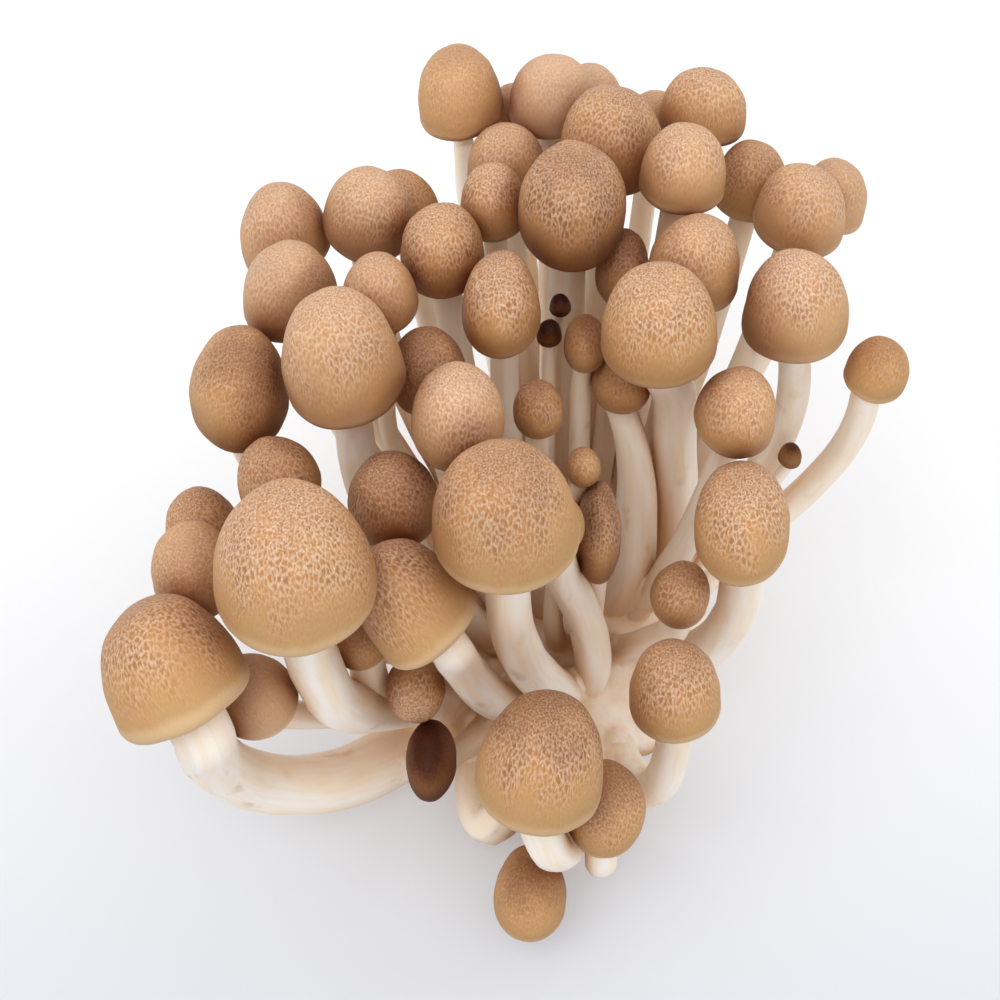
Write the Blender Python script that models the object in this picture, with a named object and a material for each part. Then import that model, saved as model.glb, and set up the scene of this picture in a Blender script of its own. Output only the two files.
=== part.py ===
"""A cluster of brown beech mushrooms, standing on its cut base.

Every mushroom is one row of MUSHROOMS. A row says where the cap shows in the
reference photograph, in pixels, how high it stands and how wide it is, in
millimetres. The position across the ground is worked out from those by
seen_at(), which follows the photograph's line of sight.

The white stems are grown together with the base into one solid. Each brown
cap is a solid of its own, and sits on the top of its stem.

Frame: +Z up, origin at the middle of the flat cut under the base, +Y away
from the viewer. The design is in millimetres; Blender's units are metres.
"""

import math
from dataclasses import dataclass

import bmesh
import bpy
import numpy as np
from mathutils import Vector, noise

MM = 0.001

# The photograph's line of sight
PHOTO_MIDDLE = 500.0
FOCAL_PIXELS = 2222.0
VIEW_ELEVATION = math.radians(52.0)
ORIGIN_PIXEL = (568.0, 650.0)
ORIGIN_DISTANCE = 395.0

# Proportions of a cap, as parts of its half width
CROWN_SHOWS = 0.70
MIDDLE_SHOWS = 0.30
MOST_LEAN = 0.96
OUTWARD_LEAN = math.radians(14.0)
FULLNESS = 2.3
DOME_ANGLES = (31.0, 62.0, 90.0)
UNDER_DEPTH = 0.36
LIP = (0.80, -0.22)
GILL_TOP = -0.12
GILL_EDGE = -0.21
SEAT_LEVEL = -0.05
LUMPS = 0.07
LUMP_PITCH = 0.75

# Caps in millimetres
GILLED_FROM = 11.0
CAP_SIDES = ((16.0, 16), (11.0, 14), (6.0, 12), (0.0, 9))
SEAT_MARGIN = 0.5
SEAT_LIMIT = 0.72
SEAT_GAP = 0.3
CAP_GAP = 0.5
SLIDE_STEP = 0.4
SLIDE_ROUNDS = 90
NEIGHBOUR_REACH = 45.0
LEAN_REACH = 60.0

# Stems in millimetres
TOP_THICKNESS = 0.88
STEM_GAP = 0.6
NODE_PITCH = 5.0
CURVE_PARTS = 12
NECK_SHARE = 0.45
NECK_MORE = 1.0
NECK_ROOM = 2.0
LEAVE_OUT = 0.55
LEAVE_UP = 0.8
HANDLE_SHARE = 0.35
WAY_PULL = 0.4
FREE_PULL = 0.05
EASE_SHARE = 0.3
LAST_EASE = 0.1
LAST_ROUNDS = 10
STEM_SLACK = 0.55
STEM_SIDES = 8
THIN_SIDES = 6
THIN_STEM = 5.0
TAPER_POWER = 0.8
TOP_FROM = 0.8
FOOT_SPREAD = 0.30
FOOT_WOBBLE = 3.0
FOOT_SEED = 1795828577
FOOT_REACH = 17.0
FOOT_LEVEL = 5.0
FLOOR_GAP = 0.8
SETTLE_ROUNDS = 70

# Base in millimetres
BASE_SIDES = 22
BASE_RINGS = ((24.5, 0.0), (25.5, 3.5), (24.0, 8.0), (17.5, 12.5), (8.5, 15.5))
BASE_TOP = 16.5
BASE_LUMPS = 2.6
BASE_PITCH = 1.7
WELD = 0.02

CAP_COLOUR = (0.52, 0.30, 0.15, 1.0)
STEM_COLOUR = (0.86, 0.80, 0.70, 1.0)


@dataclass
class Mushroom:
    """One mushroom: photo places in pixels, sizes in millimetres."""

    cap_at: tuple
    height: float
    width: float
    stem: float
    crown_at: tuple = None
    length: float = 1.15
    rise: float = 1.5
    turn: float = 0.0
    swell: float = 1.05
    way: tuple = ()


MUSHROOMS = (
    # The back rows
    Mushroom(cap_at=(459, 94), height=76, width=14.2, stem=3.8, length=1.36,
             way=((467, 150, 60), (467, 205, 46))),
    Mushroom(cap_at=(514, 116), height=69, width=10.0, stem=4.4),
    Mushroom(cap_at=(553, 98), height=77, width=14.6, stem=6.0, length=1.05, rise=1.4),
    Mushroom(cap_at=(589, 102), height=70, width=11.8, stem=5.0),
    Mushroom(cap_at=(612, 141), height=78, width=16.8, stem=6.5),
    Mushroom(cap_at=(654, 125), height=68, width=10.2, stem=4.5),
    Mushroom(cap_at=(703, 109), height=75, width=14.6, stem=6.0, length=0.97, rise=1.2),
    Mushroom(cap_at=(682, 171), height=78, width=13.8, stem=6.0, length=1.05, rise=1.4),
    Mushroom(cap_at=(750, 183), height=70, width=12.4, stem=5.0),
    Mushroom(cap_at=(800, 211), height=74, width=14.6, stem=5.5, length=1.08, rise=1.4),
    Mushroom(cap_at=(832, 197), height=66, width=11.8, stem=4.5),
    Mushroom(cap_at=(507, 165), height=77, width=13.4, stem=5.5, length=1.05, rise=1.35),
    Mushroom(cap_at=(493, 203), height=75, width=10.8, stem=4.4, length=1.25),
    Mushroom(cap_at=(572, 205), height=80, width=16.9, stem=6.5, length=1.2, rise=1.6,
             crown_at=(574, 176)),
    # The left shoulder
    Mushroom(cap_at=(501, 304), height=76, width=12.0, stem=5.0, length=1.45, rise=1.7),
    Mushroom(cap_at=(442, 249), height=76, width=13.3, stem=5.5, crown_at=(440, 225)),
    Mushroom(cap_at=(371, 214), height=75, width=14.3, stem=5.5, crown_at=(379, 190),
             length=1.05),
    Mushroom(cap_at=(402, 211), height=68, width=12.2, stem=4.5),
    Mushroom(cap_at=(284, 233), height=71, width=14.2, stem=5.5),
    Mushroom(cap_at=(290, 289), height=74, width=14.2, stem=5.5, crown_at=(288, 262),
             turn=20.0),
    Mushroom(cap_at=(380, 294), height=74, width=11.5, stem=3.2,
             way=((387, 400, 52), (388, 455, 40))),
    Mushroom(cap_at=(342, 359), height=79, width=18.0, stem=6.6, crown_at=(332, 312),
             length=1.04, rise=1.75, way=((352, 420, 60), (361, 455, 50), (364, 505, 40))),
    Mushroom(cap_at=(243, 385), height=70, width=15.3, stem=5.5, crown_at=(250, 358),
             length=1.25, rise=1.6, way=((245, 460, 55),)),
    # The middle
    Mushroom(cap_at=(428, 369), height=71, width=11.6, stem=5.0, length=1.25),
    Mushroom(cap_at=(458, 414), height=77, width=13.7, stem=6.0, crown_at=(458, 386),
             length=1.2, rise=1.55),
    Mushroom(cap_at=(538, 407), height=71, width=7.6, stem=4.0, length=1.25),
    Mushroom(cap_at=(585, 342), height=68, width=6.7, stem=3.6, length=1.5, rise=1.7),
    Mushroom(cap_at=(623, 268), height=70, width=8.8, stem=4.2, length=1.6, rise=2.0),
    Mushroom(cap_at=(695, 263), height=75, width=14.3, stem=5.5),
    Mushroom(cap_at=(658, 325), height=79, width=17.6, stem=7.8, crown_at=(655, 288),
             length=1.0, rise=1.5, way=((666, 388, 62), (674, 460, 44), (678, 560, 20))),
    Mushroom(cap_at=(621, 379), height=64, width=9.2, stem=5.0, swell=2.3,
             way=((636, 430, 54), (638, 515, 35), (630, 590, 20))),
    Mushroom(cap_at=(792, 307), height=74, width=16.4, stem=5.6, crown_at=(787, 267),
             length=1.0, rise=1.6, way=((797, 372, 56), (775, 455, 38))),
    Mushroom(cap_at=(876, 370), height=64, width=9.8, stem=5.4, length=1.0, rise=1.5,
             way=((869, 410, 54), (833, 467, 38), (795, 500, 28))),
    Mushroom(cap_at=(736, 410), height=70, width=12.3, stem=5.0),
    Mushroom(cap_at=(740, 519), height=62, width=14.2, stem=7.4, crown_at=(735, 484),
             length=1.38, rise=1.6, way=((742, 592, 43), (733, 625, 32), (706, 655, 18))),
    Mushroom(cap_at=(680, 592), height=48, width=9.1, stem=5.5, way=((681, 632, 34),)),
    # The front
    Mushroom(cap_at=(674, 687), height=44, width=14.2, stem=6.4, crown_at=(670, 650),
             length=1.05, rise=1.6,
             way=((673, 748, 28), (664, 790, 14), (647, 812, 8), (630, 780, 7))),
    Mushroom(cap_at=(542, 759), height=42, width=18.9, stem=7.2, crown_at=(547, 702),
             length=1.05, rise=1.65,
             way=((543, 856, 28), (544, 880, 24), (552, 838, 13))),
    Mushroom(cap_at=(605, 804), height=28, width=12.4, stem=5.4, length=1.2,
             way=((598, 866, 17), (599, 890, 12), (602, 845, 8))),
    Mushroom(cap_at=(530, 888), height=9, width=11.6, stem=4.6, crown_at=(530, 862),
             length=1.35, rise=1.5, way=((530, 850, 5), (535, 800, 5))),
    Mushroom(cap_at=(504, 512), height=76, width=21.4, stem=7.6, crown_at=(501, 466),
             length=0.97, rise=1.5,
             way=((506, 602, 56), (514, 650, 42), (540, 682, 28), (570, 702, 16))),
    Mushroom(cap_at=(559, 523), height=64, width=7.6, stem=6.4,
             way=((570, 572, 48), (589, 625, 33), (598, 665, 21), (590, 700, 12))),
    Mushroom(cap_at=(583, 466), height=62, width=5.2, stem=3.4, length=1.2,
             way=((556, 580, 40), (550, 635, 26))),
    Mushroom(cap_at=(597, 530), height=56, width=7.2, stem=4.6, length=2.0, rise=3.6,
             way=((593, 605, 34),)),
    Mushroom(cap_at=(413, 603), height=62, width=14.4, stem=7.2, crown_at=(370, 549),
             length=1.15, rise=2.2, way=((449, 648, 46), (472, 683, 35), (500, 716, 22))),
    Mushroom(cap_at=(393, 498), height=70, width=13.7, stem=5.6, length=1.05),
    Mushroom(cap_at=(293, 564), height=68, width=22.8, stem=8.8, crown_at=(290, 509),
             length=1.03, rise=1.5,
             way=((312, 666, 48), (326, 706, 38), (372, 710, 27), (430, 696, 17))),
    Mushroom(cap_at=(170, 671), height=52, width=20.6, stem=10.4, crown_at=(137, 603),
             length=1.0, rise=1.5,
             way=((211, 760, 28), (254, 792, 18), (308, 801, 12), (355, 788, 10),
                  (400, 755, 9))),
    Mushroom(cap_at=(278, 480), height=68, width=12.2, stem=5.0),
    Mushroom(cap_at=(203, 526), height=60, width=11.4, stem=4.6),
    Mushroom(cap_at=(195, 568), height=58, width=12.8, stem=5.0),
    Mushroom(cap_at=(254, 692), height=44, width=12.8, stem=5.0, length=1.0),
    Mushroom(cap_at=(415, 692), height=34, width=9.2, stem=4.0, crown_at=(412, 705)),
    Mushroom(cap_at=(431, 756), height=26, width=7.8, stem=4.4, length=1.7, rise=1.8),
    Mushroom(cap_at=(360, 634), height=45, width=9.0, stem=6.4,
             way=((368, 676, 36), (390, 712, 24))),
    Mushroom(cap_at=(512, 778), height=20, width=9.0, stem=8.0,
             way=((502, 856, 9), (487, 852, 8), (474, 800, 8), (470, 745, 12))),
    # Pinheads
    Mushroom(cap_at=(560, 305), height=70, width=3.4, stem=2.2),
    Mushroom(cap_at=(549, 333), height=68, width=4.0, stem=2.6),
    Mushroom(cap_at=(790, 455), height=44, width=3.8, stem=2.6),
)


def view_axes():
    """Right, up and toward the viewer, for the photograph's line of sight."""
    across = Vector((1.0, 0.0, 0.0))
    upward = Vector((0.0, math.sin(VIEW_ELEVATION), math.cos(VIEW_ELEVATION)))
    toward = Vector((0.0, -math.cos(VIEW_ELEVATION), math.sin(VIEW_ELEVATION)))
    return across, upward, toward


ACROSS, UPWARD, TOWARD = view_axes()


def line_of_sight(pixel):
    """Direction in which the viewer looks at a pixel, one unit deep."""
    side = (pixel[0] - PHOTO_MIDDLE) / FOCAL_PIXELS
    drop = (pixel[1] - PHOTO_MIDDLE) / FOCAL_PIXELS
    return ACROSS * side - UPWARD * drop - TOWARD


VIEWER = -ORIGIN_DISTANCE * line_of_sight(ORIGIN_PIXEL)


def seen_at(pixel, height):
    """The point at a height that shows at a pixel of the photograph."""
    sight = line_of_sight(pixel)
    depth = (height - VIEWER.z) / sight.z
    return VIEWER + sight * depth


def rounded(wide, high):
    """Length of a place across and along a cap's axis, on its full dome 1."""
    return (np.abs(wide) ** FULLNESS + np.abs(high) ** FULLNESS) ** (1.0 / FULLNESS)


def dome_point(angle):
    """Radius and level of the full dome at an angle from its crown."""
    wide, high = math.sin(angle), math.cos(angle)
    length = rounded(wide, high)
    return wide / length, high / length


class Cap:
    """Where one cap stands, and its three half sizes, in millimetres."""

    def __init__(self, row, index):
        self.row = row
        self.index = index
        self.half = row.width / 2.0
        self.long = self.half * row.length
        self.tall = self.half * row.rise
        middle = seen_at(row.cap_at, row.height)
        self.axis = self.lean(row, middle)
        shown = ACROSS * self.axis.dot(ACROSS) + UPWARD * self.axis.dot(UPWARD)
        self.centre = middle - shown * (self.tall * MIDDLE_SHOWS)
        self.turn_by(math.radians(row.turn))

    def lean(self, row, middle):
        """The cap's axis, from its crown's place or from its own place."""
        if row.crown_at is None:
            outward = Vector((middle.x, middle.y, 0.0)) / LEAN_REACH
            return (Vector((0, 0, 1)) + outward * math.tan(OUTWARD_LEAN)).normalized()
        scale = FOCAL_PIXELS / (VIEWER - middle).dot(TOWARD)
        reach = CROWN_SHOWS * self.tall * scale
        side = (row.crown_at[0] - row.cap_at[0]) / reach
        rise = (row.cap_at[1] - row.crown_at[1]) / reach
        sloped = math.hypot(side, rise)
        if sloped > MOST_LEAN:
            side, rise = side * MOST_LEAN / sloped, rise * MOST_LEAN / sloped
            sloped = MOST_LEAN
        return ACROSS * side + UPWARD * rise + TOWARD * math.sqrt(1.0 - sloped ** 2)

    def turn_by(self, angle):
        """The cap's own axes, with the longer one up the photograph."""
        wanted = UPWARD * math.cos(angle) + ACROSS * math.sin(angle)
        along = (wanted - self.axis * wanted.dot(self.axis)).normalized()
        side = along.cross(self.axis)
        self.frame = np.array((side[:], along[:], self.axis[:]))

    def slide(self, distance):
        """Move toward the viewer, so that the cap keeps its place in the photo."""
        self.centre += (VIEWER - self.centre).normalized() * distance

    def local(self, points):
        """Points in the cap's own axes."""
        return (points - np.array(self.centre[:])) @ self.frame.T

    def world(self, points):
        """Points of the cap's own axes in the cluster's frame."""
        return points @ self.frame + np.array(self.centre[:])

    def fullness(self, points, gap):
        """Below 1 where points are within a gap of the cap."""
        near = self.local(points)
        below = self.half * UNDER_DEPTH
        tall = np.where(near[:, 2] > 0.0, self.tall, below) + gap
        wide = np.hypot(near[:, 0] / (self.half + gap), near[:, 1] / (self.long + gap))
        return rounded(wide, near[:, 2] / tall)

    def shell(self):
        """A few points all over the cap."""
        angles = np.radians(np.arange(0.0, 360.0, 30.0))
        rows = []
        for angle in (10.0, 30.0, 50.0, 70.0, 90.0, 110.0, 140.0):
            around, level = dome_point(math.radians(angle))
            tall = self.tall if level > 0 else self.half * UNDER_DEPTH
            rows.append(np.column_stack((np.cos(angles) * around * self.half,
                                         np.sin(angles) * around * self.long,
                                         np.full(len(angles), level * tall))))
        return self.world(np.concatenate(rows))

    def seat(self):
        """Middle of the flat under the cap that the stem reaches."""
        return self.centre + self.axis * (SEAT_LEVEL * self.half)


def touching(first, second):
    """Whether two caps come closer than their gap."""
    apart = (first.centre - second.centre).length
    reach = max(first.tall, first.long) + max(second.tall, second.long)
    if apart > reach + CAP_GAP:
        return False
    if second.fullness(first.shell(), CAP_GAP).min() < 1.0:
        return True
    return first.fullness(second.shell(), CAP_GAP).min() < 1.0


def spread(caps):
    """Slide caps along the line of sight until none touches another."""
    order = sorted(caps, key=lambda cap: (VIEWER - cap.centre).length)
    pairs = [(front, rear) for place, front in enumerate(order)
             for rear in order[place + 1:]
             if (front.centre - rear.centre).length < NEIGHBOUR_REACH]
    for _ in range(SLIDE_ROUNDS):
        moved = 0
        for front, rear in pairs:
            if touching(front, rear):
                front.slide(SLIDE_STEP * 0.5)
                rear.slide(-SLIDE_STEP * 0.5)
                moved += 1
        if not moved:
            break
    return moved


def foot_level(row):
    """Height at which a stem starts, so that none of it is below the cut."""
    return max(FOOT_LEVEL, row.stem / 2.0 * row.swell + FLOOR_GAP)


def foot_of(cap):
    """Where a stem starts inside the base."""
    reach = Vector((cap.centre.x, cap.centre.y, 0.0)) * FOOT_SPREAD
    wobble = noise.noise_vector(Vector((cap.index * 1.7, 3.1, 0.4))) * FOOT_WOBBLE
    reach += Vector((wobble.x, wobble.y, 0.0))
    if reach.length > FOOT_REACH:
        reach *= FOOT_REACH / reach.length
    return reach + Vector((0.0, 0.0, foot_level(cap.row)))


def smooth_line(corners, beyond_last, pitch):
    """Evenly spaced points on a smooth curve through the corners."""
    aim = (beyond_last - corners[-1]).normalized()
    reach = (corners[-1] - corners[-2]).length
    ends = [corners[0] * 2 - corners[1]] + corners + [corners[-1] + aim * reach]
    fine = []
    for place in range(1, len(ends) - 2):
        before, here, there, beyond = ends[place - 1:place + 3]
        for part in range(CURVE_PARTS):
            t = part / CURVE_PARTS
            fine.append(0.5 * ((2 * here) + (there - before) * t
                               + (2 * before - 5 * here + 4 * there - beyond) * t ** 2
                               + (3 * here - before - 3 * there + beyond) * t ** 3))
    fine.append(corners[-1])
    return even_line(fine, pitch)


def rising_line(foot, neck, axis):
    """A stem's curve that leaves the base outward and ends along the cap's axis."""
    reach = (neck - foot).length
    outward = Vector((neck.x - foot.x, neck.y - foot.y, 0.0)).normalized()
    leave = foot + (outward * LEAVE_OUT + Vector((0.0, 0.0, LEAVE_UP))) * reach * HANDLE_SHARE
    arrive = neck - axis * reach * HANDLE_SHARE
    fine = []
    for step in range(41):
        t = step / 40.0
        fine.append(foot * (1 - t) ** 3 + leave * 3 * t * (1 - t) ** 2
                    + arrive * 3 * t * t * (1 - t) + neck * t ** 3)
    return even_line(fine, NODE_PITCH)


def even_line(line, pitch):
    """The same line with its points a pitch apart."""
    lengths = [0.0]
    for first, second in zip(line, line[1:]):
        lengths.append(lengths[-1] + (second - first).length)
    count = max(3, round(lengths[-1] / pitch))
    points = []
    place = 0
    for step in range(count + 1):
        wanted = lengths[-1] * step / count
        while place < len(line) - 2 and lengths[place + 1] < wanted:
            place += 1
        gone = (wanted - lengths[place]) / max(lengths[place + 1] - lengths[place], 1e-9)
        points.append(line[place].lerp(line[place + 1], min(gone, 1.0)))
    return points


def key_points(line):
    """The points of a line that its bends need; straight runs have few."""
    chord = line[-1] - line[0]
    along = chord.normalized()
    off = [((point - line[0]) - along * (point - line[0]).dot(along)).length
           for point in line]
    worst = max(range(len(line)), key=off.__getitem__)
    if off[worst] < STEM_SLACK or len(line) < 3:
        return [line[0], line[-1]]
    return key_points(line[:worst + 1])[:-1] + key_points(line[worst:])


def pushed_clear(point, cap, gap):
    """A point moved out of a cap, sideways or down but never over it."""
    spot = np.array((point[:],))
    full = cap.fullness(spot, gap)[0]
    if full >= 1.0:
        return point
    near = cap.local(spot)[0]
    if near[2] > 0.0:
        high = min(near[2] / (cap.tall + gap), 1.0)
        level = (1.0 - high ** FULLNESS) ** (1.0 / FULLNESS)
        wide = math.hypot(near[0] / (cap.half + gap), near[1] / (cap.long + gap))
        grow = level / max(wide, 0.05)
        near = near * np.array((grow, grow, 1.0))
    else:
        near = near / max(full, 0.05)
    return Vector(cap.world(near[None, :])[0])


def stem_line(cap, caps):
    """Middle line of a stem from its foot to its seat, bent clear of the caps."""
    row = cap.row
    top = cap.seat() - cap.axis * SEAT_GAP
    neck = top - cap.axis * (cap.half * NECK_SHARE + NECK_MORE)
    way = [seen_at(place[:2], place[2]) for place in row.way]
    while way and (way[0] - neck).dot(cap.axis) > -NECK_ROOM:
        way.pop(0)
    if way:
        line = smooth_line([foot_of(cap)] + way[::-1] + [neck], top, NODE_PITCH)
    else:
        line = rising_line(foot_of(cap), neck, cap.axis)
    home = [point.copy() for point in line]
    pull = WAY_PULL if way else FREE_PULL
    thick = row.stem / 2.0
    floor = thick * max(row.swell, 1.0) + FLOOR_GAP
    rivals = [other for other in caps if other is not cap]
    for turn in range(SETTLE_ROUNDS):
        last_rounds = turn > SETTLE_ROUNDS - LAST_ROUNDS
        for place in range(1, len(line) - 1):
            ease = (line[place - 1] + line[place + 1]) / 2.0
            if not last_rounds:
                line[place] = line[place].lerp(home[place], pull)
            line[place] = line[place].lerp(ease, LAST_EASE if last_rounds else EASE_SHARE)
            for other in rivals:
                if (other.centre - line[place]).length < other.tall + other.long:
                    line[place] = pushed_clear(line[place], other, STEM_GAP + thick)
            line[place] = pushed_clear(line[place], cap, thick * 0.5)
            line[place].z = max(line[place].z, floor)
    return line + [top]


def lathe(levels, name):
    """Mesh from rings of points, closed at both ends."""
    shape = bmesh.new()
    rings = [[shape.verts.new(point) for point in ring] for ring in levels]
    for low, high in zip(rings, rings[1:]):
        join_rings(shape, low, high)
    for ring, flip in ((rings[0], True), (rings[-1], False)):
        if len(ring) > 1:
            shape.faces.new(ring[::-1] if flip else ring)
    mesh = bpy.data.meshes.new(name)
    bmesh.ops.recalc_face_normals(shape, faces=shape.faces)
    shape.to_mesh(mesh)
    shape.free()
    return mesh


def join_rings(shape, low, high):
    """Triangles between two rings, one of which may have more points."""
    if len(low) == 1 or len(high) == 1:
        point, ring = (low[0], high) if len(low) == 1 else (high[0], low)
        for place, vert in enumerate(ring):
            shape.faces.new((point, vert, ring[(place + 1) % len(ring)]))
        return
    count = len(low)
    if len(high) == count:
        for place in range(count):
            after = (place + 1) % count
            shape.faces.new((low[place], low[after], high[after]))
            shape.faces.new((low[place], high[after], high[place]))
        return
    few, many = (low, high) if len(low) < len(high) else (high, low)
    for place, vert in enumerate(few):
        after = few[(place + 1) % len(few)]
        first, mid = many[place * 2], many[place * 2 + 1]
        last = many[(place * 2 + 2) % len(many)]
        shape.faces.new((vert, first, mid))
        shape.faces.new((vert, mid, after))
        shape.faces.new((after, mid, last))


def cap_sides(width):
    """Number of sides for a cap of this width."""
    return next(count for least, count in CAP_SIDES if width >= least)


def ring_of(cap, radius, level, count):
    """Ring in the cap's own axes; radius and level as parts of the half width."""
    points = []
    for place in range(count):
        angle = 2.0 * math.pi * place / count
        points.append((math.cos(angle) * radius * cap.half,
                       math.sin(angle) * radius * cap.long, level * cap.half))
    return points


def lumped(cap, points):
    """Points of the dome moved a little, so that no cap is a perfect dome."""
    moved = []
    for point in points:
        spot = Vector(point) / cap.half
        wave = noise.noise(spot * LUMP_PITCH + Vector((cap.index * 5.3, 0.0, 0.0)))
        moved.append(tuple(Vector(point) * (1.0 + wave * LUMPS)))
    return moved


def cap_rings(cap):
    """All rings of a cap from the crown to the flat that the stem reaches."""
    count = cap_sides(cap.row.width)
    crown = lumped(cap, [(0.0, 0.0, cap.tall)])
    rings = [crown]
    for angle in DOME_ANGLES:
        radius, level = dome_point(math.radians(angle))
        rings.append(lumped(cap, ring_of(cap, radius, level * cap.row.rise, count)))
    rings.append(ring_of(cap, *LIP, count))
    seat = (top_radius(cap) + SEAT_MARGIN) / cap.half
    if cap.row.width >= GILLED_FROM:
        middle = (seat + LIP[0]) / 2.0
        gills = ring_of(cap, middle, GILL_TOP, count * 2)
        edges = ring_of(cap, middle, GILL_EDGE, count * 2)
        rings.append([edges[place] if place % 2 else gills[place]
                      for place in range(count * 2)])
    rings.append(ring_of(cap, seat, SEAT_LEVEL, count))
    return rings


def build_cap(cap, name, material):
    """One cap as an object."""
    rings = []
    for ring in cap_rings(cap):
        placed = cap.world(np.array(ring))
        rings.append([Vector(point) * MM for point in placed])
    mesh = lathe(rings, name)
    return add_object(name, mesh, material)


def top_radius(cap):
    """Half thickness of a stem where it meets its cap."""
    room = cap.half * SEAT_LIMIT - SEAT_MARGIN
    return min(cap.row.stem / 2.0 * TOP_THICKNESS, room)


def stem_radius(cap, share):
    """Half thickness of a stem at a share of its length from the foot."""
    thick = cap.row.stem / 2.0
    wide = cap.row.swell + (TOP_THICKNESS - cap.row.swell) * share ** TAPER_POWER
    narrow = max(0.0, share - TOP_FROM) / (1.0 - TOP_FROM)
    return thick * wide + (top_radius(cap) - thick * TOP_THICKNESS) * narrow


def tube_rings(line, radii, count):
    """Rings of a tube along a line, turned as little as may be."""
    ahead = (line[1] - line[0]).normalized()
    side = ahead.orthogonal().normalized()
    rings = []
    for place, point in enumerate(line):
        before = line[max(place - 1, 0)]
        after = line[min(place + 1, len(line) - 1)]
        ahead = (after - before).normalized()
        side = (side - ahead * side.dot(ahead)).normalized()
        other = ahead.cross(side)
        rings.append([(point + (side * math.cos(turn) + other * math.sin(turn))
                       * radii[place]) * MM
                      for turn in (2.0 * math.pi * k / count for k in range(count))])
    return rings


def build_stem(cap, caps):
    """One stem as an object, with its top square to the cap's axis."""
    line = stem_line(cap, caps)
    stations = key_points(line[:-1]) + [line[-1]]
    last = len(stations) - 1
    radii = [stem_radius(cap, place / last) for place in range(last + 1)]
    sides = THIN_SIDES if cap.row.stem <= THIN_STEM else STEM_SIDES
    rings = tube_rings(stations, radii, sides)
    return add_object("stem", lathe(rings, "stem"), None)


def build_base():
    """The lump that the stems grow from, cut flat below."""
    rings = []
    for radius, level in BASE_RINGS:
        ring = []
        for place in range(BASE_SIDES):
            turn = 2.0 * math.pi * place / BASE_SIDES
            spot = Vector((math.cos(turn), math.sin(turn), level * 0.1))
            wide = radius + noise.noise(spot * BASE_PITCH) * BASE_LUMPS
            ring.append(Vector((math.cos(turn) * wide, math.sin(turn) * wide,
                                level)) * MM)
        rings.append(ring)
    rings.append([Vector((0.0, 0.0, BASE_TOP)) * MM])
    return add_object("stems", lathe(rings, "stems"), None)


def add_object(name, mesh, material):
    """Put a mesh into the scene."""
    made = bpy.data.objects.new(name, mesh)
    if material:
        made.data.materials.append(material)
    bpy.context.scene.collection.objects.link(made)
    return made


def make_material(name, colour):
    """Plain material of one colour."""
    made = bpy.data.materials.new(name)
    made.use_nodes = True
    shader = made.node_tree.nodes["Principled BSDF"]
    shader.inputs["Base Color"].default_value = colour
    shader.inputs["Roughness"].default_value = 0.6
    made.diffuse_color = colour
    return made


def united(body, others):
    """Grow the other objects into the body with one union."""
    group = bpy.data.collections.new("growing")
    bpy.context.scene.collection.children.link(group)
    for other in others:
        bpy.context.scene.collection.objects.unlink(other)
        group.objects.link(other)
    joining = body.modifiers.new("union", "BOOLEAN")
    joining.operation = "UNION"
    joining.operand_type = "COLLECTION"
    joining.collection = group
    joining.solver = "EXACT"
    bpy.context.view_layer.objects.active = body
    bpy.ops.object.modifier_apply(modifier=joining.name)
    for other in others:
        bpy.data.objects.remove(other, do_unlink=True)
    bpy.data.collections.remove(group)


def tidy(body):
    """Weld what the union left nearly touching, and keep triangles only."""
    shape = bmesh.new()
    shape.from_mesh(body.data)
    bmesh.ops.remove_doubles(shape, verts=shape.verts, dist=WELD * MM)
    bmesh.ops.dissolve_degenerate(shape, dist=WELD / 2.0 * MM, edges=shape.edges)
    bmesh.ops.triangulate(shape, faces=shape.faces)
    shape.to_mesh(body.data)
    shape.free()


def clear_scene():
    """Remove everything that the scene starts with."""
    for old in list(bpy.data.objects):
        bpy.data.objects.remove(old, do_unlink=True)


def main():
    """Build the whole cluster."""
    clear_scene()
    noise.seed_set(FOOT_SEED)
    caps = [Cap(row, index) for index, row in enumerate(MUSHROOMS)]
    left = spread(caps)
    print("pairs of caps still touching:", left)
    brown = make_material("cap_brown", CAP_COLOUR)
    white = make_material("stem_white", STEM_COLOUR)
    for number, cap in enumerate(caps, start=1):
        build_cap(cap, f"cap_{number:02d}", brown)
    body = build_base()
    body.data.materials.append(white)
    united(body, [build_stem(cap, caps) for cap in caps])
    tidy(body)
    print("stem triangles:", len(body.data.polygons))


main()
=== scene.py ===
"""Looks of the brown beech mushroom cluster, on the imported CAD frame.

Run as a script in Blender. Each operator makes one group of pieces in place of
the CAD nodes of the same mushrooms, and the last one makes the stage. The
layout of the caps and stems repeats the one in the part's source, so every
piece lies where its CAD node is.

Frame: +Z up, origin at the middle of the flat cut under the base, +Y away
from the viewer. The layout is in millimetres; Blender's units are metres.
"""

import math
from dataclasses import dataclass

import bmesh
import bpy
import numpy as np
from bpy.props import FloatProperty, FloatVectorProperty, IntProperty, PointerProperty
from mathutils import Matrix, Vector, noise


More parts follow.
